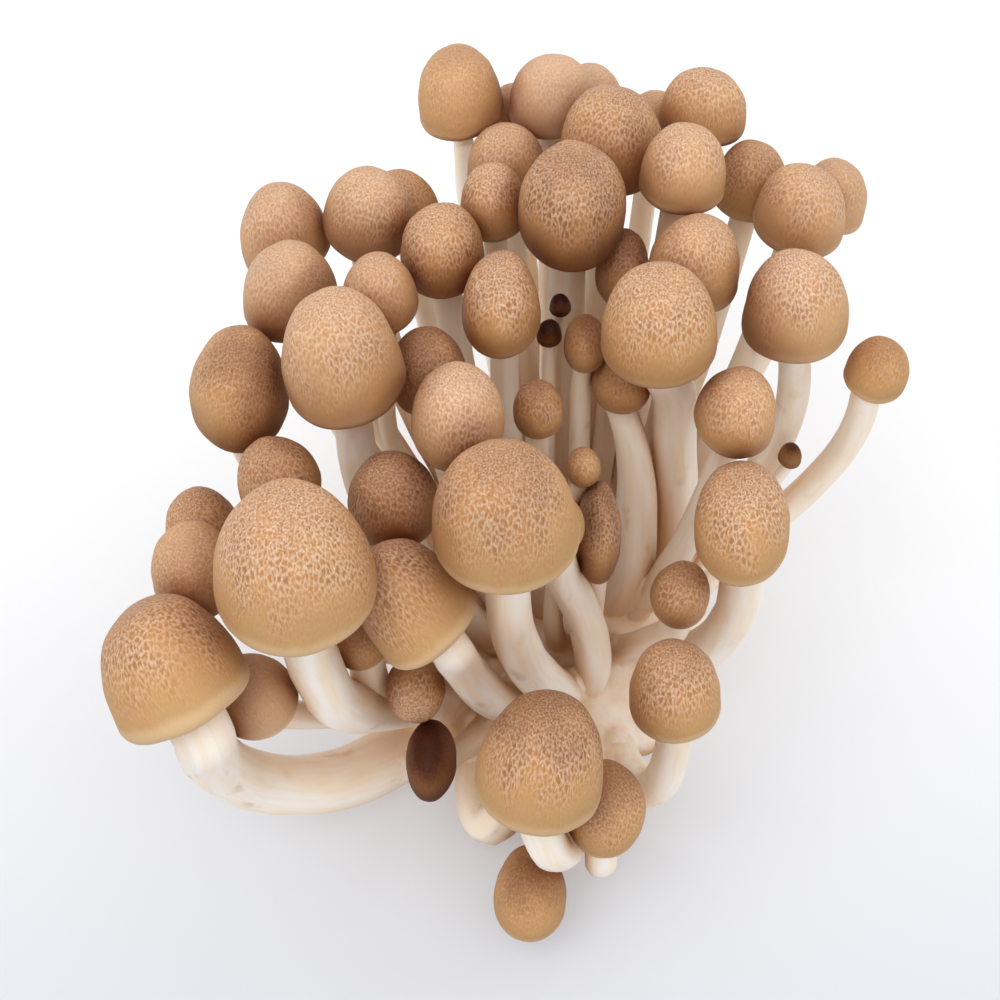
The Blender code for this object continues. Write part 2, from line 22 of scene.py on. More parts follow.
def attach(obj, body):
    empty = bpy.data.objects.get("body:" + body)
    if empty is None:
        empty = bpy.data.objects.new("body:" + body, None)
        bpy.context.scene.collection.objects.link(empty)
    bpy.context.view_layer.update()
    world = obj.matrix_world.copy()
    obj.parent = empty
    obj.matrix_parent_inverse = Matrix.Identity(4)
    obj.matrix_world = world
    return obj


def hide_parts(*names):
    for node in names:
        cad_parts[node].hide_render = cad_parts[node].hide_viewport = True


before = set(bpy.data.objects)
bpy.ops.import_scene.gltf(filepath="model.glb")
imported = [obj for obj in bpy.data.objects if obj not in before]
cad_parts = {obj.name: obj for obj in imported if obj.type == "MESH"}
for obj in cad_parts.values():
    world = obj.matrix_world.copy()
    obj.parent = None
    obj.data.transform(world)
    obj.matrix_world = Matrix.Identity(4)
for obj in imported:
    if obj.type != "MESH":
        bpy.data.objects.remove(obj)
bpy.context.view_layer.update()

MM = 0.001

bl_info = {
    "name": "Beech mushroom cluster",
    "version": (1, 0, 0),
    "blender": (4, 5, 0),
    "location": "View3D > Sidebar > Mushrooms",
    "description": "Caps, stems and cut base of a cluster of brown beech mushrooms",
    "category": "Object",
}

# The photograph's line of sight
PHOTO_SIZE = 1000.0
PHOTO_MIDDLE = 500.0
FOCAL_PIXELS = 2222.0
VIEW_ELEVATION = math.radians(52.0)
ORIGIN_PIXEL = (568.0, 650.0)
ORIGIN_DISTANCE = 395.0

# Proportions of a cap, as parts of its half width
CROWN_SHOWS = 0.70
MIDDLE_SHOWS = 0.30
MOST_LEAN = 0.96
OUTWARD_LEAN = math.radians(14.0)
FULLNESS = 2.3
DOME_ANGLES = (31.0, 62.0, 90.0)
UNDER_DEPTH = 0.36
LIP = (0.80, -0.22)
GILL_TOP = -0.12
GILL_EDGE = -0.21
SEAT_LEVEL = -0.05
LUMPS = 0.07
LUMP_PITCH = 0.75

# Caps in millimetres
GILLED_FROM = 11.0
CAP_SIDES = ((16.0, 16), (11.0, 14), (6.0, 12), (0.0, 9))
SEAT_MARGIN = 0.5
SEAT_LIMIT = 0.72
SEAT_GAP = 0.3
CAP_GAP = 0.5
SLIDE_STEP = 0.4
SLIDE_ROUNDS = 90
NEIGHBOUR_REACH = 45.0
LEAN_REACH = 60.0

# Stems in millimetres
TOP_THICKNESS = 0.88
STEM_GAP = 0.6
NODE_PITCH = 5.0
CURVE_PARTS = 12
NECK_SHARE = 0.45
NECK_MORE = 1.0
NECK_ROOM = 2.0
LEAVE_OUT = 0.55
LEAVE_UP = 0.8
HANDLE_SHARE = 0.35
WAY_PULL = 0.4
FREE_PULL = 0.05
EASE_SHARE = 0.3
LAST_EASE = 0.1
LAST_ROUNDS = 10
STEM_SLACK = 0.55
STEM_SIDES = 8
THIN_SIDES = 6
THIN_STEM = 5.0
TAPER_POWER = 0.8
TOP_FROM = 0.8
FOOT_SPREAD = 0.30
FOOT_WOBBLE = 3.0
FOOT_REACH = 17.0
FOOT_LEVEL = 5.0
FLOOR_GAP = 0.8
SETTLE_ROUNDS = 70

# Base in millimetres
BASE_SIDES = 22
BASE_RINGS = ((24.5, 0.0), (25.5, 3.5), (24.0, 8.0), (17.5, 12.5), (8.5, 15.5))
BASE_TOP = 16.5
BASE_LUMPS = 2.6
BASE_PITCH = 1.7
WELD = 0.02


@dataclass
class Mushroom:
    """One mushroom: photo places in pixels, sizes in millimetres."""

    cap_at: tuple
    height: float
    width: float
    stem: float
    crown_at: tuple = None
    length: float = 1.15
    rise: float = 1.5
    turn: float = 0.0
    swell: float = 1.05
    way: tuple = ()


MUSHROOMS = (
    # The back rows
    Mushroom(cap_at=(459, 94), height=76, width=14.2, stem=3.8, length=1.36,
             way=((467, 150, 60), (467, 205, 46))),
    Mushroom(cap_at=(514, 116), height=69, width=10.0, stem=4.4),
    Mushroom(cap_at=(553, 98), height=77, width=14.6, stem=6.0, length=1.05, rise=1.4),
    Mushroom(cap_at=(589, 102), height=70, width=11.8, stem=5.0),
    Mushroom(cap_at=(612, 141), height=78, width=16.8, stem=6.5),
    Mushroom(cap_at=(654, 125), height=68, width=10.2, stem=4.5),
    Mushroom(cap_at=(703, 109), height=75, width=14.6, stem=6.0, length=0.97, rise=1.2),
    Mushroom(cap_at=(682, 171), height=78, width=13.8, stem=6.0, length=1.05, rise=1.4),
    Mushroom(cap_at=(750, 183), height=70, width=12.4, stem=5.0),
    Mushroom(cap_at=(800, 211), height=74, width=14.6, stem=5.5, length=1.08, rise=1.4),
    Mushroom(cap_at=(832, 197), height=66, width=11.8, stem=4.5),
    Mushroom(cap_at=(507, 165), height=77, width=13.4, stem=5.5, length=1.05, rise=1.35),
    Mushroom(cap_at=(493, 203), height=75, width=10.8, stem=4.4, length=1.25),
    Mushroom(cap_at=(572, 205), height=80, width=16.9, stem=6.5, length=1.2, rise=1.6,
             crown_at=(574, 176)),
    # The left shoulder
    Mushroom(cap_at=(501, 304), height=76, width=12.0, stem=5.0, length=1.45, rise=1.7),
    Mushroom(cap_at=(442, 249), height=76, width=13.3, stem=5.5, crown_at=(440, 225)),
    Mushroom(cap_at=(371, 214), height=75, width=14.3, stem=5.5, crown_at=(379, 190),
             length=1.05),
    Mushroom(cap_at=(402, 211), height=68, width=12.2, stem=4.5),
    Mushroom(cap_at=(284, 233), height=71, width=14.2, stem=5.5),
    Mushroom(cap_at=(290, 289), height=74, width=14.2, stem=5.5, crown_at=(288, 262),
             turn=20.0),
    Mushroom(cap_at=(380, 294), height=74, width=11.5, stem=3.2,
             way=((387, 400, 52), (388, 455, 40))),
    Mushroom(cap_at=(342, 359), height=79, width=18.0, stem=6.6, crown_at=(332, 312),
             length=1.04, rise=1.75, way=((352, 420, 60), (361, 455, 50), (364, 505, 40))),
    Mushroom(cap_at=(243, 385), height=70, width=15.3, stem=5.5, crown_at=(250, 358),
             length=1.25, rise=1.6, way=((245, 460, 55),)),
    # The middle
    Mushroom(cap_at=(428, 369), height=71, width=11.6, stem=5.0, length=1.25),
    Mushroom(cap_at=(458, 414), height=77, width=13.7, stem=6.0, crown_at=(458, 386),
             length=1.2, rise=1.55),
    Mushroom(cap_at=(538, 407), height=71, width=7.6, stem=4.0, length=1.25),
    Mushroom(cap_at=(585, 342), height=68, width=6.7, stem=3.6, length=1.5, rise=1.7),
    Mushroom(cap_at=(623, 268), height=70, width=8.8, stem=4.2, length=1.6, rise=2.0),
    Mushroom(cap_at=(695, 263), height=75, width=14.3, stem=5.5),
    Mushroom(cap_at=(658, 325), height=79, width=17.6, stem=7.8, crown_at=(655, 288),
             length=1.0, rise=1.5, way=((666, 388, 62), (674, 460, 44), (678, 560, 20))),
    Mushroom(cap_at=(621, 379), height=64, width=9.2, stem=5.0, swell=2.3,
             way=((636, 430, 54), (638, 515, 35), (630, 590, 20))),
    Mushroom(cap_at=(792, 307), height=74, width=16.4, stem=5.6, crown_at=(787, 267),
             length=1.0, rise=1.6, way=((797, 372, 56), (775, 455, 38))),
    Mushroom(cap_at=(876, 370), height=64, width=9.8, stem=5.4, length=1.0, rise=1.5,
             way=((869, 410, 54), (833, 467, 38), (795, 500, 28))),
    Mushroom(cap_at=(736, 410), height=70, width=12.3, stem=5.0),
    Mushroom(cap_at=(740, 519), height=62, width=14.2, stem=7.4, crown_at=(735, 484),
             length=1.38, rise=1.6, way=((742, 592, 43), (733, 625, 32), (706, 655, 18))),
    Mushroom(cap_at=(680, 592), height=48, width=9.1, stem=5.5, way=((681, 632, 34),)),
    # The front
    Mushroom(cap_at=(674, 687), height=44, width=14.2, stem=6.4, crown_at=(670, 650),
             length=1.05, rise=1.6,
             way=((673, 748, 28), (664, 790, 14), (647, 812, 8), (630, 780, 7))),
    Mushroom(cap_at=(542, 759), height=42, width=18.9, stem=7.2, crown_at=(547, 702),
             length=1.05, rise=1.65,
             way=((543, 856, 28), (544, 880, 24), (552, 838, 13))),
    Mushroom(cap_at=(605, 804), height=28, width=12.4, stem=5.4, length=1.2,
             way=((598, 866, 17), (599, 890, 12), (602, 845, 8))),
    Mushroom(cap_at=(530, 888), height=9, width=11.6, stem=4.6, crown_at=(530, 862),
             length=1.35, rise=1.5, way=((530, 850, 5), (535, 800, 5))),
    Mushroom(cap_at=(504, 512), height=76, width=21.4, stem=7.6, crown_at=(501, 466),
             length=0.97, rise=1.5,
             way=((506, 602, 56), (514, 650, 42), (540, 682, 28), (570, 702, 16))),
    Mushroom(cap_at=(559, 523), height=64, width=7.6, stem=6.4,
             way=((570, 572, 48), (589, 625, 33), (598, 665, 21), (590, 700, 12))),
    Mushroom(cap_at=(583, 466), height=62, width=5.2, stem=3.4, length=1.2,
             way=((556, 580, 40), (550, 635, 26))),
    Mushroom(cap_at=(597, 530), height=56, width=7.2, stem=4.6, length=2.0, rise=3.6,
             way=((593, 605, 34),)),
    Mushroom(cap_at=(413, 603), height=62, width=14.4, stem=7.2, crown_at=(370, 549),
             length=1.15, rise=2.2, way=((449, 648, 46), (472, 683, 35), (500, 716, 22))),
    Mushroom(cap_at=(393, 498), height=70, width=13.7, stem=5.6, length=1.05),
    Mushroom(cap_at=(293, 564), height=68, width=22.8, stem=8.8, crown_at=(290, 509),
             length=1.03, rise=1.5,
             way=((312, 666, 48), (326, 706, 38), (372, 710, 27), (430, 696, 17))),
    Mushroom(cap_at=(170, 671), height=52, width=20.6, stem=10.4, crown_at=(137, 603),
             length=1.0, rise=1.5,
             way=((211, 760, 28), (254, 792, 18), (308, 801, 12), (355, 788, 10),
                  (400, 755, 9))),
    Mushroom(cap_at=(278, 480), height=68, width=12.2, stem=5.0),
    Mushroom(cap_at=(203, 526), height=60, width=11.4, stem=4.6),
    Mushroom(cap_at=(195, 568), height=58, width=12.8, stem=5.0),
    Mushroom(cap_at=(254, 692), height=44, width=12.8, stem=5.0, length=1.0),
    Mushroom(cap_at=(415, 692), height=34, width=9.2, stem=4.0, crown_at=(412, 705)),
    Mushroom(cap_at=(431, 756), height=26, width=7.8, stem=4.4, length=1.7, rise=1.8),
    Mushroom(cap_at=(360, 634), height=45, width=9.0, stem=6.4,
             way=((368, 676, 36), (390, 712, 24))),
    Mushroom(cap_at=(512, 778), height=20, width=9.0, stem=8.0,
             way=((502, 856, 9), (487, 852, 8), (474, 800, 8), (470, 745, 12))),
    # Pinheads
    Mushroom(cap_at=(560, 305), height=70, width=3.4, stem=2.2),
    Mushroom(cap_at=(549, 333), height=68, width=4.0, stem=2.6),
    Mushroom(cap_at=(790, 455), height=44, width=3.8, stem=2.6),
)


def view_axes():
    """Right, up and toward the viewer, for the photograph's line of sight."""
    across = Vector((1.0, 0.0, 0.0))
    upward = Vector((0.0, math.sin(VIEW_ELEVATION), math.cos(VIEW_ELEVATION)))
    toward = Vector((0.0, -math.cos(VIEW_ELEVATION), math.sin(VIEW_ELEVATION)))
    return across, upward, toward


ACROSS, UPWARD, TOWARD = view_axes()


def line_of_sight(pixel):
    """Direction in which the viewer looks at a pixel, one unit deep."""
    side = (pixel[0] - PHOTO_MIDDLE) / FOCAL_PIXELS
    drop = (pixel[1] - PHOTO_MIDDLE) / FOCAL_PIXELS
    return ACROSS * side - UPWARD * drop - TOWARD


VIEWER = -ORIGIN_DISTANCE * line_of_sight(ORIGIN_PIXEL)


def seen_at(pixel, height):
    """The point at a height that shows at a pixel of the photograph."""
    sight = line_of_sight(pixel)
    depth = (height - VIEWER.z) / sight.z
    return VIEWER + sight * depth


def rounded(wide, high):
    """Length of a place across and along a cap's axis, on its full dome 1."""
    return (np.abs(wide) ** FULLNESS + np.abs(high) ** FULLNESS) ** (1.0 / FULLNESS)


def dome_point(angle):
    """Radius and level of the full dome at an angle from its crown."""
    wide, high = math.sin(angle), math.cos(angle)
    length = rounded(wide, high)
    return wide / length, high / length


class Cap:
    """Where one cap stands, and its three half sizes, in millimetres."""

    def __init__(self, row, index):
        self.row = row
        self.index = index
        self.half = row.width / 2.0
        self.long = self.half * row.length
        self.tall = self.half * row.rise
        middle = seen_at(row.cap_at, row.height)
        self.axis = self.lean(row, middle)
        shown = ACROSS * self.axis.dot(ACROSS) + UPWARD * self.axis.dot(UPWARD)
        self.centre = middle - shown * (self.tall * MIDDLE_SHOWS)
        self.turn_by(math.radians(row.turn))

    def lean(self, row, middle):
        """The cap's axis, from its crown's place or from its own place."""
        if row.crown_at is None:
            outward = Vector((middle.x, middle.y, 0.0)) / LEAN_REACH
            return (Vector((0, 0, 1)) + outward * math.tan(OUTWARD_LEAN)).normalized()
        scale = FOCAL_PIXELS / (VIEWER - middle).dot(TOWARD)
        reach = CROWN_SHOWS * self.tall * scale
        side = (row.crown_at[0] - row.cap_at[0]) / reach
        rise = (row.cap_at[1] - row.crown_at[1]) / reach
        sloped = math.hypot(side, rise)
        if sloped > MOST_LEAN:
            side, rise = side * MOST_LEAN / sloped, rise * MOST_LEAN / sloped
            sloped = MOST_LEAN
        return ACROSS * side + UPWARD * rise + TOWARD * math.sqrt(1.0 - sloped ** 2)

    def turn_by(self, angle):
        """The cap's own axes, with the longer one up the photograph."""
        wanted = UPWARD * math.cos(angle) + ACROSS * math.sin(angle)
        along = (wanted - self.axis * wanted.dot(self.axis)).normalized()
        side = along.cross(self.axis)
        self.frame = np.array((side[:], along[:], self.axis[:]))

    def slide(self, distance):
        """Move toward the viewer, so that the cap keeps its place in the photo."""
        self.centre += (VIEWER - self.centre).normalized() * distance

    def local(self, points):
        """Points in the cap's own axes."""
        return (points - np.array(self.centre[:])) @ self.frame.T

    def world(self, points):
        """Points of the cap's own axes in the cluster's frame."""
        return points @ self.frame + np.array(self.centre[:])

    def fullness(self, points, gap):
        """Below 1 where points are within a gap of the cap."""
        near = self.local(points)
        below = self.half * UNDER_DEPTH
        tall = np.where(near[:, 2] > 0.0, self.tall, below) + gap
        wide = np.hypot(near[:, 0] / (self.half + gap), near[:, 1] / (self.long + gap))
        return rounded(wide, near[:, 2] / tall)

    def shell(self):
        """A few points all over the cap."""
        angles = np.radians(np.arange(0.0, 360.0, 30.0))
        rows = []
        for angle in (10.0, 30.0, 50.0, 70.0, 90.0, 110.0, 140.0):
            around, level = dome_point(math.radians(angle))
            tall = self.tall if level > 0 else self.half * UNDER_DEPTH
            rows.append(np.column_stack((np.cos(angles) * around * self.half,
                                         np.sin(angles) * around * self.long,
                                         np.full(len(angles), level * tall))))
        return self.world(np.concatenate(rows))

    def seat(self):
        """Middle of the flat under the cap that the stem reaches."""
        return self.centre + self.axis * (SEAT_LEVEL * self.half)


def touching(first, second):
    """Whether two caps come closer than their gap."""
    apart = (first.centre - second.centre).length
    reach = max(first.tall, first.long) + max(second.tall, second.long)
    if apart > reach + CAP_GAP:
        return False
    if second.fullness(first.shell(), CAP_GAP).min() < 1.0:
        return True
    return first.fullness(second.shell(), CAP_GAP).min() < 1.0


def spread(caps):
    """Slide caps along the line of sight until none touches another."""
    order = sorted(caps, key=lambda cap: (VIEWER - cap.centre).length)
    pairs = [(front, rear) for place, front in enumerate(order)
             for rear in order[place + 1:]
             if (front.centre - rear.centre).length < NEIGHBOUR_REACH]
    for _ in range(SLIDE_ROUNDS):
        moved = 0
        for front, rear in pairs:
            if touching(front, rear):
                front.slide(SLIDE_STEP * 0.5)
                rear.slide(-SLIDE_STEP * 0.5)
                moved += 1
        if not moved:
            break
    return moved


def foot_level(row):
    """Height at which a stem starts, so that none of it is below the cut."""
    return max(FOOT_LEVEL, row.stem / 2.0 * row.swell + FLOOR_GAP)


def foot_of(cap):
    """Where a stem starts inside the base."""
    reach = Vector((cap.centre.x, cap.centre.y, 0.0)) * FOOT_SPREAD
    wobble = noise.noise_vector(Vector((cap.index * 1.7, 3.1, 0.4))) * FOOT_WOBBLE
    reach += Vector((wobble.x, wobble.y, 0.0))
    if reach.length > FOOT_REACH:
        reach *= FOOT_REACH / reach.length
    return reach + Vector((0.0, 0.0, foot_level(cap.row)))


def smooth_line(corners, beyond_last, pitch):
    """Evenly spaced points on a smooth curve through the corners."""
    aim = (beyond_last - corners[-1]).normalized()
    reach = (corners[-1] - corners[-2]).length
    ends = [corners[0] * 2 - corners[1]] + corners + [corners[-1] + aim * reach]
    fine = []
    for place in range(1, len(ends) - 2):
        before, here, there, beyond = ends[place - 1:place + 3]
        for part in range(CURVE_PARTS):
            t = part / CURVE_PARTS
            fine.append(0.5 * ((2 * here) + (there - before) * t
                               + (2 * before - 5 * here + 4 * there - beyond) * t ** 2
                               + (3 * here - before - 3 * there + beyond) * t ** 3))
    fine.append(corners[-1])
    return even_line(fine, pitch)


def rising_line(foot, neck, axis):
    """A stem's curve that leaves the base outward and ends along the cap's axis."""
    reach = (neck - foot).length
    outward = Vector((neck.x - foot.x, neck.y - foot.y, 0.0)).normalized()
    leave = foot + (outward * LEAVE_OUT + Vector((0.0, 0.0, LEAVE_UP))) * reach * HANDLE_SHARE
    arrive = neck - axis * reach * HANDLE_SHARE
    fine = []
    for step in range(41):
        t = step / 40.0
        fine.append(foot * (1 - t) ** 3 + leave * 3 * t * (1 - t) ** 2
                    + arrive * 3 * t * t * (1 - t) + neck * t ** 3)
    return even_line(fine, NODE_PITCH)


def even_line(line, pitch):
    """The same line with its points a pitch apart."""
    lengths = [0.0]
    for first, second in zip(line, line[1:]):
        lengths.append(lengths[-1] + (second - first).length)
    count = max(3, round(lengths[-1] / pitch))
    points = []
    place = 0
    for step in range(count + 1):
        wanted = lengths[-1] * step / count
        while place < len(line) - 2 and lengths[place + 1] < wanted:
            place += 1
        gone = (wanted - lengths[place]) / max(lengths[place + 1] - lengths[place], 1e-9)
        points.append(line[place].lerp(line[place + 1], min(gone, 1.0)))
    return points


def pushed_clear(point, cap, gap):
    """A point moved out of a cap, sideways or down but never over it."""
    spot = np.array((point[:],))
    full = cap.fullness(spot, gap)[0]
    if full >= 1.0:
        return point
    near = cap.local(spot)[0]
    if near[2] > 0.0:
        high = min(near[2] / (cap.tall + gap), 1.0)
        level = (1.0 - high ** FULLNESS) ** (1.0 / FULLNESS)
        wide = math.hypot(near[0] / (cap.half + gap), near[1] / (cap.long + gap))
        grow = level / max(wide, 0.05)
        near = near * np.array((grow, grow, 1.0))
    else:
        near = near / max(full, 0.05)
    return Vector(cap.world(near[None, :])[0])


def stem_line(cap, caps):
    """Middle line of a stem from its foot to its seat, bent clear of the caps."""
    row = cap.row
    top = cap.seat() - cap.axis * SEAT_GAP
    neck = top - cap.axis * (cap.half * NECK_SHARE + NECK_MORE)
    way = [seen_at(place[:2], place[2]) for place in row.way]
    while way and (way[0] - neck).dot(cap.axis) > -NECK_ROOM:
        way.pop(0)
    if way:
        line = smooth_line([foot_of(cap)] + way[::-1] + [neck], top, NODE_PITCH)
    else:
        line = rising_line(foot_of(cap), neck, cap.axis)
    home = [point.copy() for point in line]
    pull = WAY_PULL if way else FREE_PULL
    thick = row.stem / 2.0
    floor = thick * max(row.swell, 1.0) + FLOOR_GAP
    rivals = [other for other in caps if other is not cap]
    for turn in range(SETTLE_ROUNDS):
        last_rounds = turn > SETTLE_ROUNDS - LAST_ROUNDS
        for place in range(1, len(line) - 1):
            ease = (line[place - 1] + line[place + 1]) / 2.0
            if not last_rounds:
                line[place] = line[place].lerp(home[place], pull)
            line[place] = line[place].lerp(ease, LAST_EASE if last_rounds else EASE_SHARE)
            for other in rivals:
                if (other.centre - line[place]).length < other.tall + other.long:
                    line[place] = pushed_clear(line[place], other, STEM_GAP + thick)
            line[place] = pushed_clear(line[place], cap, thick * 0.5)
            line[place].z = max(line[place].z, floor)
    return line + [top]


def top_radius(cap):
    """Half thickness of a stem where it meets its cap."""
    room = cap.half * SEAT_LIMIT - SEAT_MARGIN
    return min(cap.row.stem / 2.0 * TOP_THICKNESS, room)


def stem_radius(cap, share):
    """Half thickness of a stem at a share of its length from the foot."""
    thick = cap.row.stem / 2.0
    wide = cap.row.swell + (TOP_THICKNESS - cap.row.swell) * share ** TAPER_POWER
    narrow = max(0.0, share - TOP_FROM) / (1.0 - TOP_FROM)
    return thick * wide + (top_radius(cap) - thick * TOP_THICKNESS) * narrow


# ---- The fine shape of a cap, as parts of its half width ----

FINE_STEPS = ((16.0, 112), (11.0, 88), (6.0, 64), (0.0, 40))
DOME_ROWS = 26
MARGIN_ROWS = 7
LIP_CURL = ((0.755, -0.212), (0.725, -0.18), (0.70, -0.135))
GILL_ROWS = 5
GILL_DEPTH = 0.075
MARGIN_WAVE = 0.035
FINE_LUMPS = 0.008
FINE_PITCH = 2.6
SPREAD_SHARE = 0.45
NET_STRETCH = 0.78

# The look of each cap by its number: how dark, partly its own colour and partly painted shade,
# below 0 paler; how strong its net; how dark the painted shade on its lower side
CAP_LOOKS = {
    1: (-0.05, 0.4, 0.5), 2: (-0.1, 0.5, 0.8), 3: (-0.35, 0.6, 0.8), 4: (-0.3, 0.6, 0.5),
    5: (0.2, 1.0, 0.9), 6: (-0.2, 0.5, 0.5), 7: (-0.05, 0.9, 0.5), 8: (-0.1, 0.9, 0.2),
    9: (0.2, 0.8, 0.6), 10: (-0.1, 0.8, 0.4), 11: (-0.2, 0.5, 0.4), 12: (-0.1, 0.8, 0.6),
    13: (0.0, 1.0, 0.9), 14: (0.5, 1.2, 1.0), 15: (0.2, 1.1, 0.6), 16: (0.1, 0.9, 0.6),
    17: (-0.15, 0.9, 0.6), 18: (0.0, 0.6, 0.6), 19: (-0.15, 0.8, 0.6),
    20: (-0.2, 0.7, 0.4), 21: (-0.1, 0.7, 0.5), 22: (-0.1, 0.9, 0.5), 23: (0.45, 0.7, 0.9),
    24: (0.5, 0.9, 0.7), 25: (-0.15, 1.0, 0.3), 26: (0.6, 0.8, 0.7), 27: (0.7, 0.6, 0.8),
    28: (0.4, 0.9, 0.8), 29: (-0.05, 0.9, 0.2), 30: (0.1, 1.0, 0.4), 31: (0.3, 0.3, 0.7),
    32: (-0.1, 1.1, 0.4), 33: (0.15, 0.3, 0.3), 34: (-0.05, 0.8, 0.4), 35: (0.15, 1.1, 0.3),
    36: (0.2, 0.8, 0.3), 37: (0.3, 1.0, 0.2), 38: (0.55, 1.1, 0.2), 39: (0.2, 0.6, 0.2),
    40: (0.45, 0.3, 0.1), 41: (0.35, 0.9, 0.1), 42: (0.2, 0.5, 0.1), 43: (0.0, 0.5, 0.4),
    44: (0.6, 1.2, 0.8), 45: (0.1, 1.2, 0.1), 46: (0.35, 1.0, 0.3), 47: (0.1, 1.0, 0.1),
    48: (0.3, 1.0, 0.05), 49: (0.3, 0.9, 0.4), 50: (0.1, 0.8, 0.4), 51: (-0.1, 0.5, 0.3),
    52: (-0.25, 0.2, 0.0), 53: (0.0, 0.8, 0.2), 54: (1.2, 0.4, 1.0), 55: (0.2, 0.4, 0.4),
    57: (1.3, 0.1, 1.0), 58: (1.3, 0.1, 1.0), 59: (1.1, 0.1, 0.8),
}
PLAIN_LOOK = (0.12, 0.8, 0.4)

CAP_GROUPS = {
    "caps_back": range(1, 15),
    "caps_left": range(15, 24),
    "caps_middle": range(24, 37),
    "caps_front": range(37, 57),
    "pinheads": range(57, 60),
}

# Stems
STEM_STEPS = 24
THIN_STEPS = 18
STEM_PITCH = 1.3
PLAIN_ROUNDS = 2
BEND_ROUNDS = {38: 4, 45: 8, 48: 9}
FLUTES = 0.035
FLUTE_PITCH = 0.9

# The fused foot
FOOT_TOP = 27.0
FOOT_VOXEL = 0.75
FOOT_SMOOTHING = 5


def cap_look(number):
    """Shade, partly painted, net strength and painted shade on the lower side of a cap."""
    return CAP_LOOKS.get(number, PLAIN_LOOK)


# ---- Nodes ----

def put(socket, value):
    """Link a socket to another one, or give it a plain value."""
    if isinstance(value, bpy.types.NodeSocket):
        socket.id_data.links.new(value, socket)
    else:
        socket.default_value = value


def maths(tree, operation, first, second=0.0):
    """Result of a Math node."""
    node = tree.nodes.new("ShaderNodeMath")
    node.operation = operation
    put(node.inputs[0], first)
    put(node.inputs[1], second)
    return node.outputs[0]


def eased(tree, value, low, high, to_low=0.0, to_high=1.0):
    """A value taken smoothly from one range to another."""
    node = tree.nodes.new("ShaderNodeMapRange")
    node.interpolation_type = "SMOOTHSTEP"
    for name, given in (("Value", value), ("From Min", low), ("From Max", high),
                        ("To Min", to_low), ("To Max", to_high)):
        put(node.inputs[name], given)
    return node.outputs["Result"]


def blended(tree, share, first, second, how="MIX"):
    """Two colours mixed by a share."""
    node = tree.nodes.new("ShaderNodeMix")
    node.data_type = "RGBA"
    node.blend_type = how
    put(node.inputs["Factor"], share)
    for socket, colour in ((node.inputs[6], first), (node.inputs[7], second)):
        put(socket, colour if isinstance(colour, bpy.types.NodeSocket) else (*colour, 1.0))
    return node.outputs[2]


def cloud(tree, place, scale, detail=2.0, colour=False):
    """Noise at a place, from 0 to 1."""
    node = tree.nodes.new("ShaderNodeTexNoise")
    put(node.inputs["Vector"], place)
    node.inputs["Scale"].default_value = scale
    node.inputs["Detail"].default_value = detail
    return node.outputs["Color" if colour else 0]


def stretched(tree, place, sizes):
    """A place with each axis scaled."""
    node = tree.nodes.new("ShaderNodeMapping")
    put(node.inputs["Vector"], place)
    node.inputs["Scale"].default_value = sizes
    return node.outputs["Vector"]


def wandered(tree, place, scale, reach):
    """A place moved a little by noise, so that a pattern isn't regular."""
    away = tree.nodes.new("ShaderNodeVectorMath")
    away.operation = "SUBTRACT"
    put(away.inputs[0], cloud(tree, place, scale, 1.0, colour=True))
    away.inputs[1].default_value = (0.5, 0.5, 0.5)
    node = tree.nodes.new("ShaderNodeVectorMath")
    node.operation = "MULTIPLY_ADD"
    put(node.inputs[0], away.outputs[0])
    node.inputs[1].default_value = (reach, reach, reach)
    put(node.inputs[2], place)
    return node.outputs[0]


def cell_edges(tree, place, scale):
    """Distance to the nearest edge of a net of cells, in cells."""
    node = tree.nodes.new("ShaderNodeTexVoronoi")
    node.voronoi_dimensions = "2D"
    node.feature = "DISTANCE_TO_EDGE"
    put(node.inputs["Vector"], place)
    node.inputs["Scale"].default_value = scale
    return node.outputs["Distance"]


def painted_crevice_shade(tree, skin, reach, tint, strength, open_from=0.75):
    """Painted shade: a colour made warmer and darker where little light reaches it."""
    node = tree.nodes.new("ShaderNodeAmbientOcclusion")
    node.samples = 1
    node.inputs["Distance"].default_value = reach
    share = eased(tree, node.outputs["AO"], 0.1, open_from, strength, 0.0)
    return blended(tree, share, skin, tint, "MULTIPLY")


def blended_value(tree, share, first, second):
    """Two values mixed by a share."""
    node = tree.nodes.new("ShaderNodeMix")
    put(node.inputs["Factor"], share)
    put(node.inputs[2], first)
    put(node.inputs[3], second)
    return node.outputs[0]


def from_mesh(tree, name):
    """A vector attribute of the mesh, whole and as its three parts."""
    node = tree.nodes.new("ShaderNodeAttribute")
    node.attribute_name = name
    parts = tree.nodes.new("ShaderNodeSeparateXYZ")
    put(parts.inputs[0], node.outputs["Vector"])
    return node.outputs["Vector"], parts.outputs


def raised(tree, height, distance, strength, under=None):
    """A bump from a height."""
    node = tree.nodes.new("ShaderNodeBump")
    node.inputs["Distance"].default_value = distance
    node.inputs["Strength"].default_value = strength
    put(node.inputs["Height"], height)
    if under is not None:
        put(node.inputs["Normal"], under)
    return node.outputs["Normal"]


def new_material(name, roughness, specular=0.5):
    """An empty material and its shader."""
    made = bpy.data.materials.new(name)
    made.use_nodes = True
    shader = made.node_tree.nodes["Principled BSDF"]
    shader.inputs["Roughness"].default_value = roughness
    shader.inputs["Specular IOR Level"].default_value = specular
    return made, made.node_tree, shader


